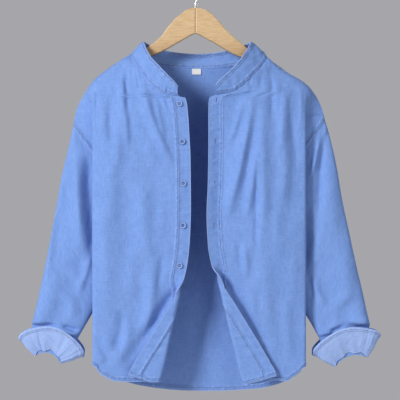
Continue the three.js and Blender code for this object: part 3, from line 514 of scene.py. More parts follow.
def front_point(side, drop, station):
    """Reach, depth and distance along the cloth at a drop and a station: a straight strip from the edge, a
    turn on a circular arc whose angle grows to half a turn where the corner lies outward, the main panel,
    and the layers of the side."""
    row = front_row(side, drop)
    along = front_along(np.minimum(station, MAIN_END), row["length"])
    angle = np.maximum(row["turned"], 1e-3) * math.pi
    beyond = along - row["strip"] - row["turn"]
    swing = angle * np.clip(-beyond / row["turn"], 0, 1)
    straight = np.maximum(row["strip"] - along, 0)
    radius = row["turn"] / angle
    turned_reach = row["start"] - radius * np.sin(swing) - np.cos(angle) * straight
    rise = radius * (1 - np.cos(swing)) + np.sin(angle) * straight
    base = mix(front_surface(side, row, turned_reach), front_surface(side, row, row["start"]),
               row["turned"])
    panel_reach = row["start"] + beyond
    on_panel = beyond >= 0
    reach = np.where(on_panel, panel_reach, turned_reach)
    depth = np.where(on_panel, front_surface(side, row, panel_reach), base + rise)
    out_reach, out_depth = side_path(side, drop, row["end"], front_surface(side, row, row["end"]),
                                     np.maximum(station - MAIN_END, 0), row["slope"])
    outer = station > MAIN_END
    return np.where(outer, out_reach, reach), np.where(outer, out_depth, depth), along


def hem_station(side, station):
    """The same stations as the hem tables count them."""
    row = front_row(side, np.array(float(NOMINAL_HEM)))
    along = front_along(np.minimum(station, MAIN_END), row["length"])
    turn_end = row["strip"] + row["turn"]
    on_panel = 1 + (along - turn_end) / (row["length"] - turn_end)
    main = np.where(along < row["strip"], along / row["strip"], np.where(along < turn_end, 1, on_panel))
    return np.where(station > MAIN_END, 2 + (station - MAIN_END) / (SIDE_END - MAIN_END), main)


def front_grid(side, rows, stations):
    """A front's middle surface on a grid of rows and stations, whose rows lean towards the hem's line."""
    row, station = np.meshgrid(rows, stations, indexing="ij")
    hem = read(side["hem"], "station", hem_station(side, station), "drop")
    drop = row + (hem - NOMINAL_HEM) * smooth((row - NOMINAL_HEM + HEM_BLEND) / HEM_BLEND)
    reach, depth, along = front_point(side, drop, station)
    return np.stack([side["sign"] * reach, -depth, -drop], -1), along


def back_row(drop, station):
    """One row of the back at its stations: a parabola between the sides with soft folds, and the same
    side layers as the fronts."""
    side_depth = read(SIDE_DEPTH, "drop", drop, "depth")
    left_end, right_end = (main_end(SIDES[name], drop, 0) for name in ("left", "right"))
    share = np.clip((station - BACK_SIDE) / (BACK_MAIN - BACK_SIDE), 0, 1)
    across = mix(-left_end, right_end, share)
    off = 2 * share - 1
    wave = fold_height(BACK_FOLDS, across, drop) * smooth((1 - np.abs(off)) * 4)
    depth = mix(read(BACK_DEPTH, "drop", drop, "depth"), side_depth, off ** 2) + wave
    middle = read(BACK_DEPTH, "drop", drop, "depth")
    slope = 4 * (middle - side_depth) / (left_end + right_end)
    left = side_path(SIDES["left"], drop, left_end, side_depth, np.maximum(BACK_SIDE - station, 0), slope)
    right = side_path(SIDES["right"], drop, right_end, side_depth, np.maximum(station - BACK_MAIN, 0), slope)
    x = np.where(station < BACK_SIDE, -left[0], np.where(station > BACK_MAIN, right[0], across))
    y = np.where(station < BACK_SIDE, left[1], np.where(station > BACK_MAIN, right[1], depth))
    return x, y


def back_top(station):
    """The back's top line: the shoulder lines outside the neck, and the neck seam between them."""
    left, right, inside = BACK_SHOULDER
    starts = [SIDES[name]["ridge"]["reach"][0] for name in ("left", "right")]
    ends = [read(SIDES[name]["ridge"], "drop", BACK_TOP, "reach") for name in ("left", "right")]
    x = np.interp(station, [0, BACK_SIDE, BACK_SIDE + inside, BACK_MAIN - inside, BACK_MAIN, BACK_END],
                  [-ends[0], -left, -starts[0], starts[1], right, ends[1]])
    seam = curve_through(COLLAR_SEAM, np.linspace(LEFT_NECK_STATION, RIGHT_NECK_STATION, 400) / LAST_STATION)
    on_neck = (x > -starts[0]) & (x < starts[1])
    ridge = np.where(x < 0, read(SIDES["left"]["ridge"], "reach", np.abs(x), "drop"),
                     read(SIDES["right"]["ridge"], "reach", np.abs(x), "drop"))
    y = np.where(on_neck, np.maximum(np.interp(x, seam[:, 0], seam[:, 1]), SEAM_GAP), SEAM_GAP)
    z = np.where(on_neck, np.interp(x, seam[:, 0], seam[:, 2]), -ridge)
    return np.stack([x, y, z], -1)


def back_grid(rows, stations):
    """The back's middle surface. Its top row is drawn up to the shoulder and neck lines, and its lower
    rows lean towards the hem's line."""
    row, station = np.meshgrid(rows, stations, indexing="ij")
    hem_x, _ = back_row(np.full_like(station, BACK_NOMINAL_HEM), station)
    outside = np.maximum(np.maximum(1 - station / BACK_SIDE, (station - BACK_MAIN) / BACK_SIDE), 0)
    hem = mix(read(BACK_HEM, "across", hem_x, "drop"), SIDE_SEAM_HEM, outside)
    drop = row + (hem - BACK_NOMINAL_HEM) * smooth((row - BACK_NOMINAL_HEM + HEM_BLEND) / HEM_BLEND)
    x, y = back_row(drop, station)
    first_x, first_y = back_row(np.full_like(station, BACK_TOP), station)
    top = back_top(station)
    below = (row - BACK_TOP) / BACK_TOP_BLEND
    towards = 1 - smooth(below)
    pinched = 1 - np.sqrt(np.clip(below * BACK_TOP_ROUNDNESS, 0, 1))
    return np.stack([x + (top[..., 0] - first_x) * towards, y + (top[..., 1] - first_y) * pinched,
                     (top[..., 2] + BACK_TOP) * towards - drop], -1)


def fan(cuff, radius, spread, share):
    """Reach and drop on a fan: share -1 to 1 sweeps its angle about its centre."""
    angle = np.radians(-share * spread - cuff["tilt"])
    return cuff["reach"] + radius * np.sin(angle), cuff["drop"] - radius * np.cos(angle)


def ring_shares(angle):
    """A rounded oblong: the share from -1 outside to 1 inside, and the share of the half depth."""
    power = 2 / SQUARENESS
    across = -np.sign(np.cos(angle)) * np.abs(np.cos(angle)) ** power
    return across, np.sign(np.sin(angle)) * np.abs(np.sin(angle)) ** power


def along_rings(rings, rows):
    """Rows evenly spaced along a tube through its given rings: each coordinate is a cubic by the mean
    distance from ring to ring, as the tables are read."""
    step = np.linalg.norm(np.diff(rings, axis=0), axis=2).mean(1)
    at = np.concatenate([[0], np.cumsum(step)])
    flat = rings.reshape(len(rings), -1)
    where = np.linspace(0, at[-1], rows)
    out = np.stack([read(dict(at=at, value=flat[:, k]), "at", where, "value")
                    for k in range(flat.shape[1])], 1)
    return out.reshape(rows, *rings.shape[1:]), where


def sleeve_grid(side, rows, columns):
    """A sleeve's middle surface: flattened rings from the armhole down, then the wrist's fans inside the
    turned-back cuff."""
    angle = 2 * math.pi * np.arange(columns) / columns
    across, deep = ring_shares(angle)
    sleeve, wrist = side["sleeve"], side["wrist"]
    rings = []
    turn = np.array([sleeve["in_reach"][0] - sleeve["out_reach"][0],
                     sleeve["in_drop"][0] - sleeve["out_drop"][0]])
    turn /= np.linalg.norm(turn)
    for i in range(len(sleeve["half"])):
        lap, over = (SLEEVE_LAP, SLEEVE_OVER) if i == 0 else (0, 0)
        reach = mix(sleeve["out_reach"][i], sleeve["in_reach"][i], (across + 1) / 2)
        drop = mix(sleeve["out_drop"][i], sleeve["in_drop"][i], (across + 1) / 2)
        reach = reach + turn[0] * over * across - turn[1] * lap
        drop = drop + turn[1] * over * across + turn[0] * lap
        wave = (1 + np.cos(4.5 * across + 0.8 + 0.4 * i)) * smooth(1 - 2 * across)
        half = sleeve["half"][i] * (1 + 0.22 * smooth((i - 1) / 3) * wave) + over
        rings.append(np.stack([side["sign"] * reach, -deep * half, -drop], -1))

    for i in range(len(wrist["half"])):
        reach, drop = fan(side["cuff"], wrist["radius"][i], wrist["spread"][i], across)
        rings.append(np.stack([side["sign"] * reach, -deep * wrist["half"][i], -drop], -1))
    return along_rings(np.array(rings), rows)


def normals_of(grid, closed):
    """Unit normals of a grid: the cross product of its directions across and down. At a seam in the
    hanger's plane they stay in that plane."""
    if closed:
        across = np.roll(grid, -1, 1) - np.roll(grid, 1, 1)
    else:
        across = np.gradient(grid, axis=1)
    normal = np.cross(across, np.gradient(grid, axis=0))
    if not closed:
        for column in (0, -1):
            at_seam = np.abs(grid[:, column, 1]) < 2 * SEAM_GAP
            normal[at_seam, column, 1] = 0
    return normal / np.maximum(np.linalg.norm(normal, axis=2, keepdims=True), 1e-9)


def cloth_map(grid, closed):
    """The cloth's own coordinates in metres: distance across and distance down, each the running sum of
    the steps on the grid."""
    wide = np.concatenate([grid, grid[:, :1]], 1) if closed else grid
    across = np.linalg.norm(np.diff(wide, axis=1), axis=2)
    down = np.linalg.norm(np.diff(wide, axis=0), axis=2)
    u = np.concatenate([np.zeros((len(wide), 1)), np.cumsum(across, 1)], 1)
    v = np.concatenate([np.zeros((1, wide.shape[1])), np.cumsum(down, 0)], 0)
    return np.stack([u, v], -1) * MM


def piece(name, points, quads, uv, finish, slot):
    """A mesh object at the origin from whole arrays, with smooth faces, its cloth map and its material."""
    mesh = bpy.data.meshes.new(name)
    mesh.from_pydata(points.reshape(-1, 3) * MM, [], quads)
    if uv is not None:
        mesh.uv_layers.new(name="cloth").uv.foreach_set("vector", uv.astype(np.float32).ravel())
    mesh.polygons.foreach_set("use_smooth", np.ones(len(mesh.polygons), bool))
    mesh.materials.append(finish)
    mesh.update()
    obj = bpy.data.objects.new(name, mesh)
    bpy.context.scene.collection.objects.link(obj)
    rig.ride(obj, "root")
    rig.slot(obj, slot)
    return obj


def shell(name, grid, thickness, finish, closed=False, stitch=None, edge=None, slot="shirt_cloth",
          flat=None):
    """A cloth wall: a grid's points moved out and in by half the thickness, closed round its edges. The
    thickness may differ from point to point. stitch holds at each point its signed distances in
    millimetres from up to three lines of stitching, along which the material paints shade, and edge the
    distance from an edge that the material paints with a paler highlight. flat holds each point's place
    in the flat cloth where the grid alone doesn't give it."""
    rows, columns = grid.shape[:2]
    away = normals_of(grid, closed) * (np.broadcast_to(thickness, (rows, columns))[..., None] / 2)
    points = np.concatenate([(grid + away).reshape(-1, 3), (grid - away).reshape(-1, 3)])
    uv = cloth_map(grid, closed) if flat is None else flat
    under = rows * columns
    index = np.arange(under).reshape(rows, columns)
    if closed:
        index = np.concatenate([index, index[:, :1]], 1)
    place = np.arange(uv.shape[0] * uv.shape[1]).reshape(uv.shape[:2])

    def corners(array):
        return np.stack([array[:-1, :-1], array[:-1, 1:], array[1:, 1:], array[1:, :-1]], -1).reshape(-1, 4)

    quads = [corners(index), corners(index)[:, ::-1] + under]
    spots = [corners(place), corners(place)[:, ::-1]]
    rims = [(index[0], place[0], True), (index[-1], place[-1], False)]
    if not closed:
        rims += [(index[:, 0], place[:, 0], False), (index[:, -1], place[:, -1], True)]
    for line, spot, flip in rims:
        quad = np.stack([line[:-1], line[1:], line[1:] + under, line[:-1] + under], -1)
        where = np.stack([spot[:-1], spot[1:], spot[1:], spot[:-1]], -1)
        quads.append(quad[:, ::-1] if flip else quad)
        spots.append(where[:, ::-1] if flip else where)
    obj = piece(name, points, np.concatenate(quads), uv.reshape(-1, 2)[np.concatenate(spots).ravel()],
                finish, slot)
    mesh = obj.data
    far = np.full((rows, columns), 99.0) if edge is None else edge
    layer = mesh.attributes.new("edge_mm", "FLOAT", "POINT")
    layer.data.foreach_set("value", np.concatenate([far.ravel()] * 2).astype(np.float32))
    border = np.zeros(len(points), bool)
    for line, _, _ in rims:
        border[line] = border[line + under] = True
    ends = np.empty(2 * len(mesh.edges), np.int32)
    mesh.edges.foreach_get("vertices", ends)
    ends = ends.reshape(-1, 2)
    sharp = mesh.attributes.new("sharp_edge", "BOOLEAN", "EDGE")
    sharp.data.foreach_set("value", border[ends].all(1) & ((ends[:, 0] < under) == (ends[:, 1] < under)))
    lines = np.full((rows, columns, 3), 99.0) if stitch is None else stitch
    layer = mesh.attributes.new("stitch_mm", "FLOAT_VECTOR", "POINT")
    layer.data.foreach_set("vector", np.concatenate([lines.reshape(-1, 3)] * 2).astype(np.float32).ravel())
    return obj


def front_map(grid, low):
    """A front's places in the flat cloth: along and down from its edge, and above the row low, beside the
    neck, across from the line of the front edge and straight down, so that its threads stay upright."""
    flat = cloth_map(grid, False)
    drop = -grid[..., 2] * MM
    flat[:low, :, 0] += (np.abs(grid[:low, :1, 0]) - abs(grid[low, 0, 0])) * MM
    flat[low:, :, 1] += drop[low] - flat[low, :, 1].copy()
    flat[:low, :, 1] = drop[:low]
    return flat


def moved(grid, height, closed=False):
    """A grid with each point moved along its normal by its height."""
    return grid + normals_of(grid, closed) * height[..., None]


def stitched(*distances):
    """Up to three arrays of signed distances from lines of stitching, as one array of triples."""
    far = np.full(distances[0].shape, 99.0)
    return np.stack((list(distances) + [far, far])[:3], -1)


STITCH = np.array([[-1, 0, 0], [-0.6, 1, 0], [0.6, 1, 0], [1, 0, 0], [-0.6, 0, 1], [0.6, 0, 1],
                   [-0.6, -1, 0], [0.6, -1, 0]])
STITCH_FACES = np.array([[0, 1, 4], [1, 2, 5], [1, 5, 4], [2, 3, 5], [0, 4, 6], [4, 5, 7], [4, 7, 6],
                         [5, 3, 7], [0, 6, 1], [6, 7, 2], [6, 2, 1], [7, 3, 2]])


def stitches(name, lines, pitch, finish, length=2.1, wide=0.42, high=0.3, turned=False):
    """Rows of thread: along each line of points and outward directions a small pointed bead at every
    pitch, its length along the line or turned across it, set on the cloth."""
    points, faces, count = [], [], 0
    for line, outward in lines:
        step = np.linalg.norm(np.diff(line, axis=0), axis=1)
        at = np.concatenate([[0], np.cumsum(step)])
        where = np.arange(pitch / 2, at[-1], pitch)
        ahead = np.minimum(where + 0.5, at[-1])
        behind = ahead - 0.5
        spot = np.stack([np.interp(where, at, line[:, k]) for k in range(3)], 1)
        along = (np.stack([np.interp(ahead, at, line[:, k]) for k in range(3)], 1)
                 - np.stack([np.interp(behind, at, line[:, k]) for k in range(3)], 1))
        along /= np.maximum(np.linalg.norm(along, axis=1, keepdims=True), 1e-6)
        up = np.stack([np.interp(where, at, outward[:, k]) for k in range(3)], 1)
        side = np.cross(up, along)
        side /= np.maximum(np.linalg.norm(side, axis=1, keepdims=True), 1e-6)
        up = np.cross(along, side)
        if turned:
            along, side = side, -along
        bead = STITCH * np.array([length / 2, wide / 2, high])
        points.append(spot[:, None] + bead[None, :, :1] * along[:, None] + bead[None, :, 1:2] * side[:, None]
                      + bead[None, :, 2:] * up[:, None])
        faces.append(STITCH_FACES[None] + 8 * (np.arange(len(spot)) + count)[:, None, None])
        count += len(spot)
    return piece(name, np.concatenate(points), np.concatenate(faces).reshape(-1, 3), None, finish,
                 "shirt_cloth")


def on_cloth(grid, rows, columns, lift, closed=False):
    """A line on a cloth: grid points at fractional rows and columns, lifted by half the cloth and a hair,
    and the directions away from it."""
    normals = normals_of(grid, closed)
    r = np.clip(np.asarray(rows, float), 0, grid.shape[0] - 1)
    c = np.clip(np.asarray(columns, float), 0, grid.shape[1] - 1)
    r, c = np.broadcast_arrays(r, c)
    i, j = np.minimum(r.astype(int), grid.shape[0] - 2), np.minimum(c.astype(int), grid.shape[1] - 2)
    t, u = (r - i)[:, None], (c - j)[:, None]

    def at(array):
        return mix(mix(array[i, j], array[i, j + 1], u), mix(array[i + 1, j], array[i + 1, j + 1], u), t)

    up = at(normals)
    up = up / np.linalg.norm(up, axis=1, keepdims=True) * np.sign(lift)
    return at(grid) + up * abs(lift), up


def columns_at(values, level):
    """In each row, the fractional column where values that grow along it pass a level."""
    return np.array([np.interp(level, row, np.arange(len(row))) for row in values])


# MATERIALS
def linear(code):
    """A colour given as sRGB hex, turned to linear."""
    value = np.array([int(code[k:k + 2], 16) / 255 for k in (1, 3, 5)])
    out = np.where(value <= 0.04045, value / 12.92, ((value + 0.055) / 1.055) ** 2.4)
    return (*out.tolist(), 1.0)


def add(tree, kind, inputs=None, out=0, **settings):
    """Adds a node, sets or links its inputs by name or number, and gives one of its outputs."""
    new = tree.nodes.new("ShaderNode" + kind)
    for key, value in settings.items():
        setattr(new, key, value)
    for key, value in (inputs or {}).items():
        if isinstance(value, bpy.types.NodeSocket):
            tree.links.new(value, new.inputs[key])
        else:
            new.inputs[key].default_value = value
    return new.outputs[out]


def finish_named(name):
    """A new material with its tree emptied but for its output."""
    material = bpy.data.materials.new(name)
    material.use_nodes = True
    tree = material.node_tree
    tree.nodes.clear()
    return material, tree, tree.nodes.new("ShaderNodeOutputMaterial")


def woven_cloth(name, pale, deep, highlight_colour, seam_shade_colour, slub):
    """Plain woven cotton and linen, dyed in the piece and washed: matt, with slubs along both threads that
    take the dye unevenly, soft mottling and puckers beside the stitching. A paler painted highlight lies
    along the cloth's edges and on the raised parts of the puckers, and painted shade darkens the sunken
    lines of stitching. A thread is about 0.4 mm wide, too fine to show here, so the weave is drawn with
    threads 0.9 mm wide and slubs of 2 to 3 mm."""
    material, tree, out = finish_named(name)
    uv = add(tree, "UVMap", uv_map="cloth")
    warp_way = add(tree, "Mapping", {"Vector": uv, "Scale": (1150, 60, 1)})
    weft_way = add(tree, "Mapping", {"Vector": uv, "Scale": (70, 1000, 1)})
    slub_way = add(tree, "Mapping", {"Vector": uv, "Scale": (380, 24, 1)})
    cross_way = add(tree, "Mapping", {"Vector": uv, "Scale": (20, 330, 1)})
    warp = add(tree, "TexNoise", {"Vector": warp_way, "Scale": 1.0, "Detail": 2.0, "Roughness": 0.6})
    weft = add(tree, "TexNoise", {"Vector": weft_way, "Scale": 1.0, "Detail": 2.0, "Roughness": 0.6})
    slubs = add(tree, "TexNoise", {"Vector": slub_way, "Scale": 1.0, "Detail": 2.0, "Roughness": 0.5})
    crossing = add(tree, "TexNoise", {"Vector": cross_way, "Scale": 1.0, "Detail": 2.0, "Roughness": 0.5})
    cloudy = add(tree, "TexNoise", {"Vector": uv, "Scale": 24.0, "Detail": 4.0, "Roughness": 0.55})
    threads = add(tree, "Math", {0: warp, 1: weft}, operation="ADD")
    thick = add(tree, "Math", {0: slubs, 1: crossing}, operation="ADD")
    fine_tone = add(tree, "MapRange", {"Value": threads, "From Min": 0.7, "From Max": 1.3,
                                       "To Min": 0.5 - 0.32 * slub, "To Max": 0.5 + 0.32 * slub})
    slub_tone = add(tree, "MapRange", {"Value": thick, "From Min": 0.7, "From Max": 1.3,
                                       "To Min": -0.12 * slub, "To Max": 0.12 * slub})
    cloud_tone = add(tree, "MapRange", {"Value": cloudy, "From Min": 0.3, "From Max": 0.7,
                                        "To Min": -0.06, "To Max": 0.06})
    tone = add(tree, "Math", {0: fine_tone, 1: slub_tone}, operation="ADD")
    tone = add(tree, "Math", {0: tone, 1: cloud_tone}, operation="ADD")
    colour = add(tree, "Mix", {"Factor": tone, 6: linear(deep), 7: linear(pale)}, 2,
                 data_type="RGBA", clamp_factor=True)
    lines = add(tree, "Attribute", out=1, attribute_name="stitch_mm")
    apart = add(tree, "VectorMath", {0: lines}, operation="ABSOLUTE")
    first = add(tree, "SeparateXYZ", {0: apart}, 0)
    second = add(tree, "SeparateXYZ", {0: apart}, 1)
    third = add(tree, "SeparateXYZ", {0: apart}, 2)
    nearer = add(tree, "Math", {0: first, 1: second}, operation="MINIMUM")
    nearest = add(tree, "Math", {0: nearer, 1: third}, operation="MINIMUM")
    seam = add(tree, "MapRange", {"Value": nearest, "From Min": 0.2, "From Max": 1.6, "To Min": 1.0,
                                  "To Max": 0.0}, interpolation_type="SMOOTHSTEP")
    beside = add(tree, "MapRange", {"Value": nearest, "From Min": 1.0, "From Max": 6.5, "To Min": 1.0,
                                    "To Max": 0.0}, interpolation_type="SMOOTHSTEP")
    puckers = add(tree, "TexNoise", {"Vector": uv, "Scale": 170.0, "Detail": 2.0, "Roughness": 0.5})
    raised = add(tree, "MapRange", {"Value": puckers, "From Min": 0.45, "From Max": 0.68},
                 interpolation_type="SMOOTHSTEP")
    # Painted highlight: the raised parts of the puckers beside the stitching are painted paler.
    painted_highlight = add(tree, "Math", {0: beside, 1: raised}, operation="MULTIPLY")
    painted_highlight = add(tree, "Math", {0: painted_highlight, 1: 0.38}, operation="MULTIPLY")
    # Painted highlight: the cloth is painted paler within about 2 mm of an edge, by its edge distance.
    edge = add(tree, "Attribute", out=2, attribute_name="edge_mm")
    edge_highlight = add(tree, "MapRange", {"Value": edge, "From Min": 0.3, "From Max": 1.9, "To Min": 0.4,
                                    "To Max": 0.0}, interpolation_type="SMOOTHSTEP")
    painted_highlight = add(tree, "Math", {0: painted_highlight, 1: edge_highlight}, operation="MAXIMUM")
    colour = add(tree, "Mix", {"Factor": painted_highlight, 6: colour, 7: linear(highlight_colour)}, 2, data_type="RGBA")
    # Painted shade: the sunken lines of stitching are painted darker.
    seam_shade = add(tree, "Math", {0: seam, 1: 0.45}, operation="MULTIPLY")
    colour = add(tree, "Mix", {"Factor": seam_shade, 6: colour, 7: linear(seam_shade_colour)}, 2, data_type="RGBA")
    wrinkle = add(tree, "TexNoise", {"Vector": uv, "Scale": 55.0, "Detail": 3.0, "Roughness": 0.5})
    pucker = add(tree, "Math", {0: beside, 1: puckers}, operation="MULTIPLY")
    relief = add(tree, "Math", {0: threads, 1: 0.00012}, operation="MULTIPLY")
    relief = add(tree, "Math", {0: wrinkle, 1: 0.0009, 2: relief}, operation="MULTIPLY_ADD")
    relief = add(tree, "Math", {0: pucker, 1: 0.0032, 2: relief}, operation="MULTIPLY_ADD")
    relief = add(tree, "Math", {0: seam, 1: -0.0005, 2: relief}, operation="MULTIPLY_ADD")
    bump = add(tree, "Bump", {"Height": relief, "Strength": 1.0, "Distance": 1.0})
    shader = add(tree, "BsdfPrincipled",
                 {"Base Color": colour, "Roughness": 0.9, "Specular IOR Level": 0.2, "Normal": bump,
                  "Sheen Weight": 0.3, "Sheen Roughness": 0.4, "Sheen Tint": linear("#e4ecff")})
    tree.links.new(shader, out.inputs[0])
    return material


def thread(name, colour, light_colour):
    """Polyester core sewing thread: fine, slightly glossy and a shade paler than the cloth."""
    material, tree, out = finish_named(name)
    place = add(tree, "TexCoord", out=3)
    twist = add(tree, "TexNoise", {"Vector": place, "Scale": 900.0, "Detail": 1.0})
    shade = add(tree, "Mix", {"Factor": twist, 6: linear(colour), 7: linear(light_colour)}, 2,
                data_type="RGBA")
    shader = add(tree, "BsdfPrincipled", {"Base Color": shade, "Roughness": 0.55})
    tree.links.new(shader, out.inputs[0])
    return material


def cast_polyester(name, centre):
    """A button turned from cast polyester sheet: translucent pearl swirls under a polished face, with a
    painted highlight on the lip round it, painted shade in the turned groove inside the lip, and a painted shadow at
    the back edge."""
    material, tree, out = finish_named(name)
    place = add(tree, "TexCoord", out=3)
    from_centre = add(tree, "VectorMath", {0: place, 1: centre}, operation="SUBTRACT")
    face = add(tree, "VectorMath", {0: from_centre, 1: (1000, 0, 1000)}, operation="MULTIPLY")
    radius = add(tree, "VectorMath", {0: face}, "Value", operation="LENGTH")
    # Painted highlight: the lip ring is painted paler.
    lip = add(tree, "MapRange", {"Value": radius, "From Min": 3.2, "From Max": 4.0, "To Min": 0.0,
                                 "To Max": 0.85}, interpolation_type="SMOOTHSTEP")
    # Painted shade: the turned groove inside the lip is painted darker.
    inside_groove = add(tree, "MapRange", {"Value": radius, "From Min": 2.0, "From Max": 2.8},
                        interpolation_type="SMOOTHSTEP")
    groove = add(tree, "Math", {0: inside_groove, 1: lip}, operation="SUBTRACT")
    # Painted shadow: a dark ring at the back edge.
    edge_shadow_ring = add(tree, "MapRange", {"Value": radius, "From Min": 6.2, "From Max": 6.8},
                    interpolation_type="SMOOTHSTEP")
    dark = add(tree, "Math", {0: groove, 1: edge_shadow_ring}, operation="MAXIMUM")
    swirl = add(tree, "TexNoise", {"Vector": place, "Scale": 160.0, "Detail": 3.0, "Distortion": 1.2})
    pearl = add(tree, "MapRange", {"Value": swirl, "From Min": 0.35, "From Max": 0.7},
                interpolation_type="SMOOTHSTEP")
    shade = add(tree, "Mix", {"Factor": pearl, 6: linear("#4468b0"), 7: linear("#86a6e2")}, 2,
                data_type="RGBA")
    shade = add(tree, "Mix", {"Factor": lip, 6: shade, 7: linear("#a9c4f6")}, 2, data_type="RGBA")
    shade = add(tree, "Mix", {"Factor": dark, 6: shade, 7: linear("#2c4a8e")}, 2, data_type="RGBA",
                clamp_factor=True)
    shader = add(tree, "BsdfPrincipled", {"Base Color": shade, "Roughness": 0.2, "IOR": 1.55,
                                          "Coat Weight": 0.5, "Coat Roughness": 0.1})
    tree.links.new(shader, out.inputs[0])
    return material


def beech(name):
    """Steamed beech, planed and lacquered: straight grain along each arm in bands 2 to 3 mm wide, short
    dark ray flecks about 2 mm long, and a little darker towards the bottom, from 120 to 175 mm below the origin."""
    material, tree, out = finish_named(name)
    place = add(tree, "TexCoord", out=3)
    grain = add(tree, "Mapping", {"Vector": place, "Scale": (40, 300, 300)})
    bands = add(tree, "TexNoise", {"Vector": grain, "Scale": 1.0, "Detail": 5.0, "Roughness": 0.62,
                                   "Distortion": 0.5})
    fleck_way = add(tree, "Mapping", {"Vector": place, "Scale": (260, 900, 900)})
    flecks = add(tree, "TexVoronoi", {"Vector": fleck_way, "Scale": 1.0})
    late = add(tree, "MapRange", {"Value": bands, "From Min": 0.3, "From Max": 0.72},
               interpolation_type="SMOOTHSTEP")
    spot = add(tree, "MapRange", {"Value": flecks, "From Min": 0.12, "From Max": 0.0, "To Min": 0.0,
                                  "To Max": 0.35}, interpolation_type="SMOOTHSTEP")
    wood = add(tree, "Mix", {"Factor": late, 6: linear("#e0c298"), 7: linear("#cba777")}, 2,
               data_type="RGBA")
    wood = add(tree, "Mix", {"Factor": spot, 6: wood, 7: linear("#7d5732")}, 2, data_type="RGBA")
    height = add(tree, "SeparateXYZ", {0: place}, 2)
    darker_below = add(tree, "MapRange", {"Value": height, "From Min": -0.12, "From Max": -0.175, "To Min": 0.0,
                                     "To Max": 0.4}, interpolation_type="SMOOTHSTEP")
    wood = add(tree, "Mix", {"Factor": darker_below, 6: wood, 7: linear("#a47a4a")}, 2, data_type="RGBA")
    bump = add(tree, "Bump", {"Height": bands, "Strength": 0.12, "Distance": 0.001})
    shader = add(tree, "BsdfPrincipled", {"Base Color": wood, "Roughness": 0.55, "Normal": bump,
                                          "Coat Weight": 0.1, "Coat Roughness": 0.4})
    tree.links.new(shader, out.inputs[0])
    return material


def plated_wire(name):
    """Nickel-plated steel wire, drawn: bright grey with faint lines along it and a slightly worn polish."""
    material, tree, out = finish_named(name)
    place = add(tree, "TexCoord", out=3)
    drawn = add(tree, "TexNoise", {"Vector": place, "Scale": 700.0, "Detail": 2.0})
    rough = add(tree, "MapRange", {"Value": drawn, "From Min": 0.3, "From Max": 0.7, "To Min": 0.38,
                                   "To Max": 0.5})
    shader = add(tree, "BsdfPrincipled", {"Base Color": linear("#c8c7c2"), "Metallic": 1.0,
                                          "Roughness": rough})
    tree.links.new(shader, out.inputs[0])
    return material


def satin_tape(name):
    """Woven satin label tape: white polyester with fine ribs across it about 0.5 mm apart."""
    material, tree, out = finish_named(name)
    place = add(tree, "TexCoord", out=3)
    ribs = add(tree, "TexWave", {"Vector": place, "Scale": 320.0, "Distortion": 0.6},
               wave_type="BANDS", bands_direction="Z")
    shade = add(tree, "Mix", {"Factor": ribs, 6: linear("#f6f6f6"), 7: linear("#e4e5e8")}, 2,
                data_type="RGBA")
    bump = add(tree, "Bump", {"Height": ribs, "Strength": 0.2, "Distance": 0.0003})
    shader = add(tree, "BsdfPrincipled", {"Base Color": shade, "Roughness": 0.45, "Normal": bump,
                                          "Sheen Weight": 0.2})
    tree.links.new(shader, out.inputs[0])
    return material


# Each cloth's third colour is its painted highlight on edges and pucker crests, its fourth its painted shade along the
# stitching.
blue_cloth = woven_cloth("piece-dyed cotton and linen", "#8eb0ee", "#6388ce", "#bccff5", "#2f54a4", 1.0)
# The cuffs' copy of the cloth is painted paler: painted light on their flared faces.
cuff_cloth_painted_paler = woven_cloth("piece-dyed cotton and linen, wrong side", "#b6cdfb", "#88a8e6", "#d2dffa",
                         "#4368b6", 1.0)
sewing_thread = thread("core-spun sewing thread", "#8aaaea", "#b4caf4")
# A dark bead along each buttonhole's slit: painted shadow inside the cut.
slit_shade = thread("cut edge inside a buttonhole", "#1f3566", "#2b4580")
wood = beech("lacquered beech")
wire = plated_wire("nickel-plated wire")
tape = satin_tape("woven satin tape")

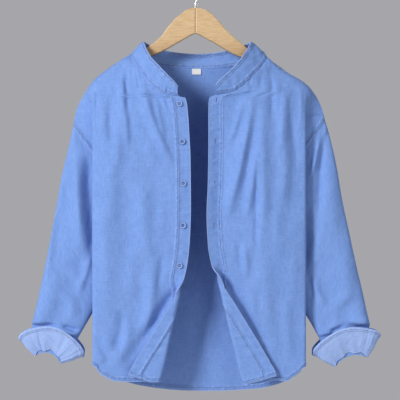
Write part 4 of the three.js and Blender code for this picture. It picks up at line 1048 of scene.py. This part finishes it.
# CREASES, placed one by one: from (reach, drop) to (reach, drop), bow, width, height, lean
FRONT_CREASES = {
    "left": (
        (122, 213, 47, 422, 7, 10, 6.0, 0.1), (164, 200, 149, 395, -3, 8, 3.6, 0.2),
        (190, 255, 186, 372, 0, 9, -2.8, 0), (153, 186, 150, 318, 0, 6, -2.6, 0),
        (219, 240, 219, 320, 0, 5, -2.4, 0), (88, 262, 64, 360, 2, 6, 2.0, 0),
        (60, 255, 47, 295, 0, 4, 1.7, 0), (78, 248, 62, 290, 1, 4, 1.5, 0),
        (152, 174, 149, 222, 0, 3.4, -1.6, 0), (141, 184, 139, 226, 0, 3.4, -1.6, 0),
        (161, 176, 160, 214, 0, 3.6, 1.4, 0), (130, 205, 121, 250, 1, 3.4, -1.4, 0),
        (178, 360, 176, 560, 3, 16, 1.8, 0), (110, 430, 118, 640, -4, 18, 2.0, 0),
        (204, 470, 200, 690, 2, 14, 1.8, 0), (70, 470, 76, 600, 2, 12, 1.4, 0),
        (164, 715, 182, 832, -9, 10, -2.2, 0), (148, 745, 172, 850, -8, 12, 3.0, 0),
        (222, 806, 196, 848, 3, 10, 4.0, 0.2), (92, 640, 112, 800, -3, 13, 4.4, 0.1),
        (128, 560, 136, 720, 4, 15, 2.2, 0), (72, 600, 84, 690, -2, 8, -2.2, 0)),
    "right": (
        (134, 226, 70, 530, 5, 8, 4.0, 0.1), (105, 258, 72, 372, 3, 6.5, 3.2, 0),
        (131, 372, 108, 545, 3, 8, 4.0, 0), (132, 372, 131, 640, 2, 6, -2.6, 0),
        (151, 320, 150, 590, 0, 11, 3.6, 0.2), (197, 222, 182, 400, 2, 9, 3.4, 0.1),
        (168, 196, 168, 325, 0, 7, -3.0, 0), (233, 226, 233, 345, 0, 6, 3.2, 0),
        (209, 285, 220, 452, 4, 9, -2.8, 0), (107, 585, 112, 668, 0, 8, 2.8, 0),
        (186, 420, 182, 640, -3, 15, 2.6, 0.2), (221, 470, 216, 760, 3, 20, 3.2, 0.2),
        (150, 176, 140, 205, 0, 3.6, -2.0, 0), (158, 178, 158, 222, 0, 3.6, 1.8, 0),
        (120, 232, 108, 262, 1, 3.6, 1.5, 0), (146, 208, 139, 250, 1, 4, -1.5, 0),
        (156, 610, 160, 780, -3, 14, 2.2, 0), (118, 660, 140, 790, -3, 12, 3.4, 0),
        (196, 700, 204, 850, 3, 13, 3.0, 0), (92, 575, 104, 650, 0, 7, -2.2, 0)),
}
# Small pulls across the facings, and ribs across the turned corners: from, to, width, height
PULLS = {
    "left": ((14, 292, 38, 286, 3, 1.0), (12, 322, 40, 316, 3, 0.9), (12, 378, 38, 372, 3, 1.0),
             (10, 424, 38, 420, 3, 0.8), (10, 470, 38, 466, 3, 1.0), (10, 503, 38, 500, 3, 1.1),
             (10, 519, 38, 516, 3, 1.1), (11, 562, 38, 560, 3, 0.8), (14, 604, 40, 600, 3, 1.0)),
    "right": ((30, 284, 56, 275, 3, 1.2), (29, 303, 58, 297, 3, 0.9), (29, 334, 58, 330, 3.2, 1.4),
              (29, 369, 58, 363, 3.2, 1.5), (29, 410, 56, 398, 3, 1.4), (29, 432, 58, 428, 3, 1.0),
              (28, 458, 56, 452, 3, 1.2), (28, 482, 56, 478, 3.4, 1.0), (27, 522, 54, 518, 3, 0.9),
              (29, 560, 56, 557, 3, 0.9)),
}
SWELLS = {
    "left": ((196, 225, 204, 850, 0, 30, 6.5, 0), (96, 330, 104, 700, 0, 44, -2.0, 0)),
    "right": ((160, 215, 172, 850, 0, 52, 7.0, 0), (56, 300, 60, 620, 0, 18, -2.4, 0))}
ABOVE_CUFF = {
    "left": ((376, 766, 300, 765, 0, 5, -8.0, 0), (300, 765, 256, 779, 0, 5, -8.0, 0)),
    "right": ((294, 783, 330, 764, 0, 5, -8.0, 0), (330, 764, 394, 770, 0, 5, -8.0, 0))}
# How much of their listed heights the creases take on each front and on the sleeves' fronts
CREASE_SHARE = {"left": 1.45, "right": 1.05}
SLEEVE_CREASE_SHARE = 1.35
# How far each facing leans, from its edge to its seam
FACING_TILT = {"left": -0.6, "right": 3.8}
# The chest between these drops is averaged, with a soft start and end, so that no row of it stands out
EVEN_CHEST = {"top": 200, "starts_over": 36, "low": 372, "ends_over": 50, "rounds": 180}
# The hollow beside a turned corner: its depth, its place and width beside the fold, and its lower end
CORNER_HOLLOW = {"deep": 9.5, "away": 11, "wide": 14, "from_fold": 16, "low": 860, "ends_over": 110}
# The cuff's fan: how much its two tips are rounded, from which share of its width, and how its sides wave
CUFF_TIP = {"high": 5, "start": 0.84, "length": 0.16}
CUFF_SIDE_WAVE = 0.012
SLEEVE_ROWS, SLEEVE_COLUMNS = 190, 120
CUFF_ROWS, CUFF_COLUMNS = 40, 180
# Sewing: the length of a stitch, and how far the thread lies off the cloth
STITCH_LENGTH = 3.2
THREAD_OFF = 0.05
SLEEVE_CREASES = {
    "left": (
        (264, 395, 240, 640, 6, 11, 5.0, 0), (238, 345, 222, 660, 3, 13, -8.0, 0),
        (294, 440, 303, 700, 2, 20, -4.0, 0), (311, 450, 333, 700, 0, 8, 2.4, 0),
        (236, 572, 264, 640, 0, 5, -2.6, 0), (228, 600, 262, 700, -2, 6, 3.2, 0),
        (246, 690, 282, 640, 3, 8, 2.0, 0), (300, 690, 262, 752, -8, 12, 3.4, 0),
        (262, 330, 238, 378, 2, 6, -3.0, 0), (272, 322, 262, 372, 2, 4, 1.8, 0)),
    "right": (
        (275, 335, 252, 445, 3, 5.5, 4.6, 0.2), (279, 340, 252, 650, 7, 9, -4.2, 0),
        (247, 480, 241, 660, 2, 9, -8.0, 0),
        (302, 360, 300, 620, 4, 16, 2.6, 0.1), (330, 520, 336, 720, 3, 18, 2.6, 0),
        (262, 655, 288, 735, -3, 8, 3.0, 0), (246, 640, 262, 720, 2, 6, -2.2, 0),
        (350, 690, 300, 745, -6, 12, 3.4, 0), (290, 310, 283, 352, 1, 4, 1.8, 0)),
}
SLEEVE_BACK_CREASES = {
    "left": ((286, 400, 262, 640, 6, 12, 5.0, 0), (262, 470, 300, 700, 3, 10, -2.6, 0),
             (320, 560, 290, 735, -4, 11, 3.0, 0), (252, 600, 276, 720, 3, 8, 2.6, 0)),
    "right": ((288, 350, 280, 560, -5, 10, 4.6, 0), (312, 480, 340, 700, 3, 13, 3.4, 0),
              (282, 520, 262, 650, 4, 8, -2.8, 0), (300, 640, 284, 745, 3, 8, 2.8, 0)),
}
BACK_CREASES = (
    (-132, 214, -118, 420, 6, 9, 5.0, 0), (-88, 222, -70, 380, 4, 8, 3.6, 0),
    (-186, 236, -170, 520, 5, 11, 4.4, 0), (96, 218, 84, 430, -4, 9, 5.2, 0),
    (146, 212, 138, 350, -4, 8, 3.8, 0), (196, 240, 184, 560, -5, 12, 4.6, 0),
    (34, 240, 18, 520, 6, 12, 3.4, 0), (-40, 300, -52, 700, -8, 16, 4.2, 0),
    (60, 480, 84, 850, 8, 15, 4.4, 0), (-150, 540, -170, 850, 8, 15, 4.6, 0),
    (-96, 560, -110, 820, 0, 12, -3.4, 0), (176, 600, 160, 860, -6, 13, 4.2, 0),
    (122, 620, 118, 800, 5, 10, -2.8, 0), (0, 700, 10, 900, 4, 14, 3.6, 0))


def uneven(seed, across, drop, wave, length, height):
    """Cloth that never lies quite flat: soft swells in three sizes, from a hand's breadth to a finger's."""
    return height * (noise(seed, across, drop, wave, length)
                     + 0.33 * noise(seed + 1, across, drop, wave * 0.36, length * 0.34)
                     + 0.11 * noise(seed + 2, across, drop, wave * 0.13, length * 0.13))


def settled_down(depth, mask):
    """Depths averaged again and again with those above and below, in weights 1, 2, 1, where the mask says."""
    soft = depth.copy()
    for _ in range(EVEN_CHEST["rounds"]):
        soft[1:-1] = (soft[:-2] + 2 * soft[1:-1] + soft[2:]) / 4
    return mix(depth, soft, mask)


def pull_height(pulls, across, drop):
    """Small pulls across a facing, as short straight creases with soft ends."""
    rows = [(x0, d0, x1, d1, 0, wide, high, 0) for x0, d0, x1, d1, wide, high in pulls]
    return crease_height(rows, across, drop)


def above_hem(grid):
    """How far each place lies above the hem, along the cloth."""
    down = cloth_map(grid, False)[..., 1] / MM
    return down[-1:] - down


def hem_layers(from_hem):
    """What the turned-up hem adds to the cloth's thickness, up to its stitching and a little past it."""
    return (HEM_CLOTH - CLOTH) * smooth((HEM_DEPTH + 1.5 - from_hem) / 1.5)


# PIECES
FRONT_STATIONS = np.concatenate([
    np.linspace(0, 6, 17)[:-1], np.linspace(6, 16, 31)[:-1], np.linspace(16, 22, 61)[:-1],
    np.linspace(22, 32, 49)])
FACING_COLUMNS = 17
fronts, facings, sewn = {}, {}, {}
for name, side in SIDES.items():
    rows = np.linspace(side["top"], NOMINAL_HEM, 262)
    grid, along = front_grid(side, rows, FRONT_STATIONS)
    across, drop = side["sign"] * grid[..., 0], -grid[..., 2]
    station = np.broadcast_to(FRONT_STATIONS, across.shape)
    neck_end = side["neck_edge"]["drop"][-1]
    even = (smooth((drop - EVEN_CHEST["top"]) / EVEN_CHEST["starts_over"])
            * smooth((EVEN_CHEST["low"] - drop) / EVEN_CHEST["ends_over"])
            * smooth((along - FACING_WIDTH) / 25) * smooth((24 - station) / 7))
    grid[..., 1] = settled_down(grid[..., 1], even)
    inside = smooth((station - 0.5) / 3) * smooth((24 - station) / 4)
    turned = smooth((drop - side["flap"]["drop"][0] + 20) / 60)
    free = read(side["flap"], "drop", drop, "free")
    covered = turned * smooth((free + 26 - across) / 22)
    on_strip = (station < 15.5) * turned
    height = (crease_height(FRONT_CREASES[name], across, drop) * CREASE_SHARE[name] * (1 - 0.9 * covered)
              + crease_height(SWELLS[name], across, drop) * (1 - covered)
              + uneven(11 if side["sign"] < 0 else 15, across, drop, 90, 150, 0.95)) * inside
    pulls = pull_height(PULLS[name], across, drop) * smooth((7.5 - station) / 1.5) * (1 - turned)
    ribs = 0.8 * noise(31, along * 0.4, drop, 60, 15) * on_strip * smooth((9 - station) / 3)
    tilt = (FACING_TILT[name] * (1 - station / 3) * (station < FACING_END)
            * smooth((drop - neck_end) / 30) * (1 - turned))
    at_fold = np.take_along_axis(along, across.argmin(1)[:, None], 1)
    from_middle = (across - free - CORNER_HOLLOW["away"]) / CORNER_HOLLOW["wide"]
    hollow = (-CORNER_HOLLOW["deep"] * np.exp(-from_middle ** 2) * turned
              * smooth((along - at_fold) / CORNER_HOLLOW["from_fold"]))
    hollow = hollow * smooth((CORNER_HOLLOW["low"] - drop) / CORNER_HOLLOW["ends_over"])
    height = (height + pulls + ribs + tilt + hollow) * smooth((drop - neck_end + 75) / 60)
    gathers = (noise(33, across, drop * 0.25, 11, 30) * smooth((34 - along) / 26)
               * smooth((neck_end - 6 - drop) / 14))
    height = height + 0.9 * gathers * smooth(along / 5) * (station < MAIN_END)
    grid = grid + np.array([0, -1, 0]) * height[..., None]
    from_hem = above_hem(grid)
    at_edge = smooth((2.2 - along) / 1.4) * (drop > neck_end) * 0.7
    thickness = CLOTH + np.maximum(hem_layers(from_hem), at_edge)
    off_facing = np.where(drop > neck_end - 2, along - (FACING_WIDTH - 1.5), 99)
    # Distance from the front edge below the neck and from the hem: the material paints the cloth paler there, a
    # painted highlight.
    painted_highlight = np.minimum(np.where(drop > neck_end, along, 99), from_hem)
    # The lines of stitching, along which the material paints shade.
    lines = stitched(off_facing, from_hem - HEM_DEPTH)
    low = int(np.argmax(rows >= neck_end + 2))
    fronts[name] = shell(f"{name}_front_cloth", grid, thickness, blue_cloth, stitch=lines, edge=painted_highlight,
                         flat=front_map(grid, low))
    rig.replaces(fronts[name], f"front_{name}")
    part = slice(low, None), slice(0, FACING_COLUMNS)
    facing = moved(grid[part], np.full(grid[part].shape[:2], side["sign"] * FACING_AWAY))
    facings[name] = shell(f"{name}_facing_cloth", facing, FACING_CLOTH, blue_cloth, stitch=lines[part],
                          edge=painted_highlight[part])
    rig.replaces(facings[name], f"placket_{name}")
    sewn[name] = dict(grid=grid, facing=facing, along=along, from_hem=from_hem, low=low, rows=rows,
                      neck_end=neck_end)

BACK_STATIONS = np.concatenate([np.linspace(0, 10, 49)[:-1], np.linspace(10, 24, 73)[:-1],
                                np.linspace(24, 34, 49)])
back_rows = BACK_TOP + (BACK_NOMINAL_HEM - BACK_TOP) * np.linspace(0, 1, 230) ** 1.15
grid = back_grid(back_rows, BACK_STATIONS)
down = cloth_map(grid, False)[..., 1] / MM
inside = smooth((BACK_STATIONS - 7) / 5) * smooth((27 - BACK_STATIONS) / 5) * smooth((down - 12) / 60)
height = crease_height(BACK_CREASES, grid[..., 0], -grid[..., 2])
height = (height + uneven(21, grid[..., 0], grid[..., 2], 110, 190, 0.9)) * inside
grid = grid + np.array([0, 1, 0]) * height[..., None]
from_hem = above_hem(grid)
thickness = CLOTH + hem_layers(from_hem)
# The back's hem edge is painted with a paler highlight, and its hem stitching with painted shade.
back = shell("back_cloth", grid, thickness, blue_cloth, stitch=stitched(from_hem - HEM_DEPTH), edge=from_hem)
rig.replaces(back, "back")
back_cloth_grid, back_from_hem = grid, from_hem

sleeves, cuffs = {}, {}
for name, side in SIDES.items():
    grid, at = sleeve_grid(side, SLEEVE_ROWS, SLEEVE_COLUMNS)
    _, deep = ring_shares(2 * math.pi * np.arange(SLEEVE_COLUMNS) / SLEEVE_COLUMNS)
    across, drop = side["sign"] * grid[..., 0], -grid[..., 2]
    front = (SLEEVE_CREASE_SHARE * crease_height(SLEEVE_CREASES[name], across, drop)
             + uneven(41, across, drop, 70, 120, 0.6))
    behind = crease_height(SLEEVE_BACK_CREASES[name], across, drop) + uneven(45, across, drop, 70, 120, 0.6)
    height = front * smooth(deep * 1.6) + behind * smooth(-deep * 1.6)
    height = height * smooth(at / 40)[:, None] * smooth((at[-1] - 62 - at) / 26)[:, None]
    height = height + crease_height(ABOVE_CUFF[name], across, drop) * smooth(deep * 1.6)
    grid = grid + np.stack([0 * height, -np.sign(deep) * height, 0 * height], -1)
    sleeve_shape = grid
    sleeves[name] = shell(f"{name}_sleeve_cloth", grid, CLOTH, blue_cloth, closed=True,
                          stitch=stitched(np.broadcast_to((at - 5)[:, None], grid.shape[:2])))
    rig.replaces(sleeves[name], f"sleeve_{name}")
    share = np.linspace(0, 1, CUFF_ROWS)[:, None]
    angle = 2 * math.pi * np.arange(CUFF_COLUMNS) / CUFF_COLUMNS
    across, deep = ring_shares(angle)
    cuff = side["cuff"]
    arc = np.broadcast_to(across * math.radians(cuff["spread"]) * 64, (CUFF_ROWS, CUFF_COLUMNS))
    arch = MOUTH_ARCH * smooth(deep * 1.3) * (1 + 0.35 * np.sin(across * 9 + 1)) * (1 - np.abs(across) ** 3)
    tip = CUFF_TIP["high"] * smooth((np.abs(across) - CUFF_TIP["start"]) / CUFF_TIP["length"])[None]
    radius = mix(cuff["mouth"] + arch[None], cuff["rim"] + 0.8 * np.sin(across * 7 + 2)[None] - tip, share)
    half = mix(MOUTH_HALF, RIM_HALF, np.sin(share * math.pi / 2))
    fan_width = 1 - CUFF_SIDE_WAVE * (1 + np.sin(share * 9 + 1))
    reach, drop = fan(cuff, radius, cuff["spread"], across[None] * fan_width)
    grid = np.stack([side["sign"] * reach, -deep[None] * half, -drop], -1)
    seed = 61 if side["sign"] < 0 else 67
    face = np.sign(deep)[None]
    down_cuff = np.broadcast_to(share * 60, arc.shape)
    fine = noise(seed, arc, down_cuff + 30 * face, 5.5, 120) * (0.75 - 0.4 * share)
    broad = noise(seed + 1, arc, down_cuff + 30 * face, 17, 130) * (0.6 - 0.25 * share)
    grid = moved(grid, -side["sign"] * (fine + broad), closed=True)
    span = (cuff["rim"] - cuff["mouth"]) * (1 - share) + 0 * arc
    # The cuff takes the paler copy of the cloth, painted light on its flared faces, and a paler painted highlight
    # towards its mouth edge.
    cuffs[name] = shell(f"{name}_cuff_cloth", grid, CUFF_CLOTH, cuff_cloth_painted_paler, closed=True,
                        stitch=stitched(span - 6), edge=np.broadcast_to(share * 60, arc.shape))
    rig.replaces(cuffs[name], f"cuff_{name}")
    sewn[name].update(sleeve=sleeve_shape, sleeve_at=at, cuff=grid, cuff_span=span)

stations = np.linspace(0, 1, 230)
seam, top = curve_through(COLLAR_SEAM, stations), curve_through(COLLAR_TOP, stations)
rise = top - seam
length = np.linalg.norm(rise, axis=1)
share = mix(-COLLAR_LAP / length, 1, np.linspace(0, 1, 15)[:, None])
grid = seam + rise * share[..., None]
outward = grid * [1, 1, 0]
outward /= np.linalg.norm(outward, axis=2, keepdims=True)
grid = grid + outward * (COLLAR_BULGE * np.sin(math.pi * np.clip(share, 0, 1)))[..., None]
height = share * length
run = np.broadcast_to(np.concatenate([[0], np.cumsum(np.linalg.norm(np.diff(seam, axis=0), axis=1))]),
                      height.shape)
crumple = (0.75 * noise(51, run, height, 9, 26) * smooth((17 - height) / 10)
           + 0.5 * noise(52, run, height, 26, 18) + 0.5 * noise(53, run * 0.2, height, 40, 9)
           * smooth((run - 130) / 40) * smooth((run[:, -1:] - 130 - run) / 40))
grid = grid - normals_of(grid, False) * (crumple * smooth(height / 5 + 0.2))[..., None]
collar_shape, collar_height = grid, height
# The collar's top edge is painted with a paler highlight, and its stitching with painted shade.
collar = shell("collar_cloth", grid, COLLAR_CLOTH, blue_cloth,
               stitch=stitched(length * (1 - share) - 4, height - 4), edge=length * (1 - share) + 0 * height)
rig.replaces(collar, "collar")

# THREAD: lines of stitching on each piece, and the buttonholes
for name, side in SIDES.items():
    made, sign = sewn[name], side["sign"]
    low, count = made["low"], len(made["rows"])
    front_lift, facing_lift = -sign * (CLOTH / 2 + THREAD_OFF), sign * (FACING_CLOTH / 2 + THREAD_OFF)
    hem_row = columns_at(-made["from_hem"].T, -HEM_DEPTH)
    facing_row = np.arange(low, count - 3)
    facing_column = columns_at(made["along"][low:count - 3], FACING_WIDTH - 1.5)
    hem_column = np.arange(len(FRONT_STATIONS))
    stitches(f"{name}_front_stitching", [
        on_cloth(made["grid"], facing_row, facing_column, front_lift),
        on_cloth(made["grid"], hem_row, hem_column, front_lift * 2.2)], STITCH_LENGTH, sewing_thread)
    inner = slice(0, FACING_COLUMNS - 1)
    stitches(f"{name}_facing_stitching", [
        on_cloth(made["facing"], facing_row - low, facing_column - 0.15, facing_lift),
        on_cloth(made["facing"], hem_row[inner] - low, hem_column[inner], facing_lift)],
        STITCH_LENGTH, sewing_thread)
    on_sleeve = np.interp(4.5, made["sleeve_at"], np.arange(len(made["sleeve_at"])))
    sleeve_round, cuff_round = np.arange(SLEEVE_COLUMNS + 1), np.arange(CUFF_COLUMNS + 1)
    cuff_lift = -sign * (CUFF_CLOTH / 2 + THREAD_OFF)
    rim_row = columns_at(-made["cuff_span"].T, -6)
    wrapped = np.concatenate([made["cuff"], made["cuff"][:, :1]], 1)
    sleeve_wrapped = np.concatenate([made["sleeve"], made["sleeve"][:, :1]], 1)
    stitches(f"{name}_sleeve_stitching", [
        on_cloth(sleeve_wrapped, np.full(len(sleeve_round), on_sleeve), sleeve_round,
                 sign * (CLOTH / 2 + THREAD_OFF))],
        STITCH_LENGTH, sewing_thread)
    stitches(f"{name}_cuff_stitching", [
        on_cloth(wrapped, rim_row[cuff_round % CUFF_COLUMNS], cuff_round, cuff_lift),
        on_cloth(wrapped, np.full(len(cuff_round), 3.0), cuff_round, cuff_lift)],
        STITCH_LENGTH, sewing_thread)
back_hem = columns_at(-back_from_hem.T, -HEM_DEPTH)
stitches("back_stitching", [
    on_cloth(back_cloth_grid, back_hem, np.arange(len(BACK_STATIONS)), lift)
    for lift in (CLOTH + 0.1, -CLOTH - 0.1)], STITCH_LENGTH, sewing_thread)
collar_columns = np.arange(1, 229)
below_top = columns_at((collar_height - collar_height[-1:]).T, -4)[1:229]
above_seam = columns_at(collar_height.T, 4)[1:229]
stitches("collar_stitching", [
    on_cloth(collar_shape, row, collar_columns, lift * (COLLAR_CLOTH / 2 + THREAD_OFF))
    for row in (below_top, above_seam) for lift in (-1, 1)], STITCH_LENGTH, sewing_thread)


def buttonhole_lines(grid, rows, row, column, slant, lift):
    """A buttonhole's two long sides, its ends and its slit, as lines on the cloth."""
    reach = np.linspace(-2.7, 2.7, 9)
    columns = column + slant * reach
    spots = np.interp(row, rows, np.arange(len(rows))) + reach
    sides = [on_cloth(grid, spots, columns + off, lift) for off in (-0.5, 0.5)]
    ends = [on_cloth(grid, np.full(5, spots[k]), np.linspace(columns[k] - 0.55, columns[k] + 0.55, 5), lift)
            for k in (0, -1)]
    return sides, ends, on_cloth(grid, spots[[0, -1]], columns[[0, -1]], lift)


made, bars, slits = sewn["right"], [], []
for drop, slant in BUTTONHOLES:
    for grid, rows, lift in ((made["grid"], made["rows"], -CLOTH / 2 - 0.03),
                             (made["facing"], made["rows"][made["low"]:], FACING_CLOTH / 2 + 0.03)):
        sides, ends, slit = buttonhole_lines(grid, rows, drop, 7.4, slant, lift)
        bars += sides + ends
        slits.append(slit)
stitches("buttonhole_bars", bars, 0.62, sewing_thread, length=1.7, wide=0.6, high=0.3, turned=True)
# Dark beads on the slits: painted shadow inside each buttonhole.
stitches("buttonhole_slits", slits, 14.0, slit_shade, length=13.5, wide=0.7, high=0.42)

KEPT_NODES = {"neck_label": tape, "hanger_left": wood, "hanger_right": wood, "hanger_ferrule": wire,
              "hanger_hook": wire}
for k in range(1, 7):
    low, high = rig.box(f"button_{k}")
    middle = tuple((a + b) / 2 for a, b in zip(low, high))
    KEPT_NODES[f"button_{k}"] = cast_polyester(f"cast polyester button {k}", middle)
for node_name, finish in KEPT_NODES.items():
    for slot in frame["nodes"][node_name].material_slots:
        slot.material = finish

# STAGE, LIGHT, CAMERA
def ground():
    """A flat square floor below the hanging shirt, with its sides at 2.6 m."""
    half, low = 2.6, -1.75
    mesh = bpy.data.meshes.new("floor")
    mesh.from_pydata([(-half, -half, low), (half, -half, low), (half, half, low), (-half, half, low)], [],
                     [(0, 1, 2, 3)])
    material, tree, out = finish_named("pale floor")
    shader = add(tree, "BsdfPrincipled", {"Base Color": linear("#c9c9cc"), "Roughness": 0.9})
    tree.links.new(shader, out.inputs[0])
    mesh.materials.append(material)
    floor = bpy.data.objects.new("floor", mesh)
    bpy.context.scene.collection.objects.link(floor)
    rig.stage(floor)


def soft_light(name, place, target, size, power, colour="#ffffff"):
    """A rectangular lamp at a place, turned towards a target."""
    data = bpy.data.lights.new(name, "AREA")
    data.shape = "RECTANGLE"
    data.size, data.size_y = size
    data.energy = power
    data.color = linear(colour)[:3]
    light = bpy.data.objects.new(name, data)
    light.location = place
    light.rotation_euler = (Vector(target) - Vector(place)).to_track_quat("-Z", "Y").to_euler()
    bpy.context.scene.collection.objects.link(light)


ground()
soft_light("window side", (-3.9, -3.8, 1.5), (0, 0, -0.5), (1.5, 2.0), 300)
soft_light("front fill", (1.9, -2.7, 0.2), (0.15, 0, -0.5), (2.0, 2.0), 20)
soft_light("low fill", (-0.4, -2.3, -1.6), (0, 0, -0.7), (1.6, 0.8), 4)
soft_light("right bounce", (2.6, -0.9, -0.3), (0, 0, -0.5), (1.6, 1.6), 5)
soft_light("behind", (1.4, 3.2, 0.7), (0, 0, -0.5), (2.2, 2.2), 56)
world = bpy.data.worlds.new("studio")
world.use_nodes = True
sky = world.node_tree
seen = add(sky, "Background", {"Color": linear("#a6a6aa"), "Strength": 1.0})
given = add(sky, "Background", {"Color": linear("#a6a6aa"), "Strength": 0.4})
by_eye = add(sky, "LightPath", out=0)
both = add(sky, "MixShader", {0: by_eye, 1: given, 2: seen})
sky.links.new(both, sky.nodes["World Output"].inputs[0])
bpy.context.scene.world = world
bpy.context.scene.view_settings.view_transform = "Standard"

FRAME_WIDTH, FRAME_CENTRE, FRONT_PLANE, DISTANCE = 0.88, (0.0099, -0.4884), -0.03, 3.3
lens = bpy.data.cameras.new("camera")
lens.sensor_width = 36
lens.lens = 36 * DISTANCE / FRAME_WIDTH
camera = bpy.data.objects.new("camera", lens)
camera.location = (FRAME_CENTRE[0], FRONT_PLANE - DISTANCE, FRAME_CENTRE[1])
camera.rotation_euler = (math.pi / 2, 0, 0)
bpy.context.scene.collection.objects.link(camera)
bpy.context.scene.camera = camera

# SHEETS: each piece's flat cut
def flat_cut(obj):
    """A sheet's flat width and length, as its cloth map spans them, and its area, half that of its shell."""
    mesh = obj.data
    spots = np.empty(2 * len(mesh.loops), np.float32)
    mesh.uv_layers["cloth"].data.foreach_get("uv", spots)
    width, length = np.ptp(spots.reshape(-1, 2), axis=0)
    areas = np.empty(len(mesh.polygons), np.float32)
    mesh.polygons.foreach_get("area", areas)
    return dict(flat=(round(float(width), 3), round(float(length), 3)),
                area=round(float(areas.sum()) / 2, 4))


both_arms = ["hanger_left", "hanger_right"]
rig.sheet(back, held="hung", rests_on=both_arms, **flat_cut(back))
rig.sheet(collar, held="folded", rests_on=both_arms, **flat_cut(collar))
for name in SIDES:
    arm = f"hanger_{name}"
    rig.sheet(fronts[name], held="hung", rests_on=[arm], **flat_cut(fronts[name]))
    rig.sheet(facings[name], held="folded", rests_on=[fronts[name]], **flat_cut(facings[name]))
    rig.sheet(sleeves[name], held="hung", rests_on=[arm], **flat_cut(sleeves[name]))
    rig.sheet(cuffs[name], held="folded", rests_on=[sleeves[name]], **flat_cut(cuffs[name]))

json.dump({"cad": [list(map(float, corner)) for corner in cad_box],
           "visual": [list(map(float, corner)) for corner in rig.bounds()]},
          open("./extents.json", "w"))
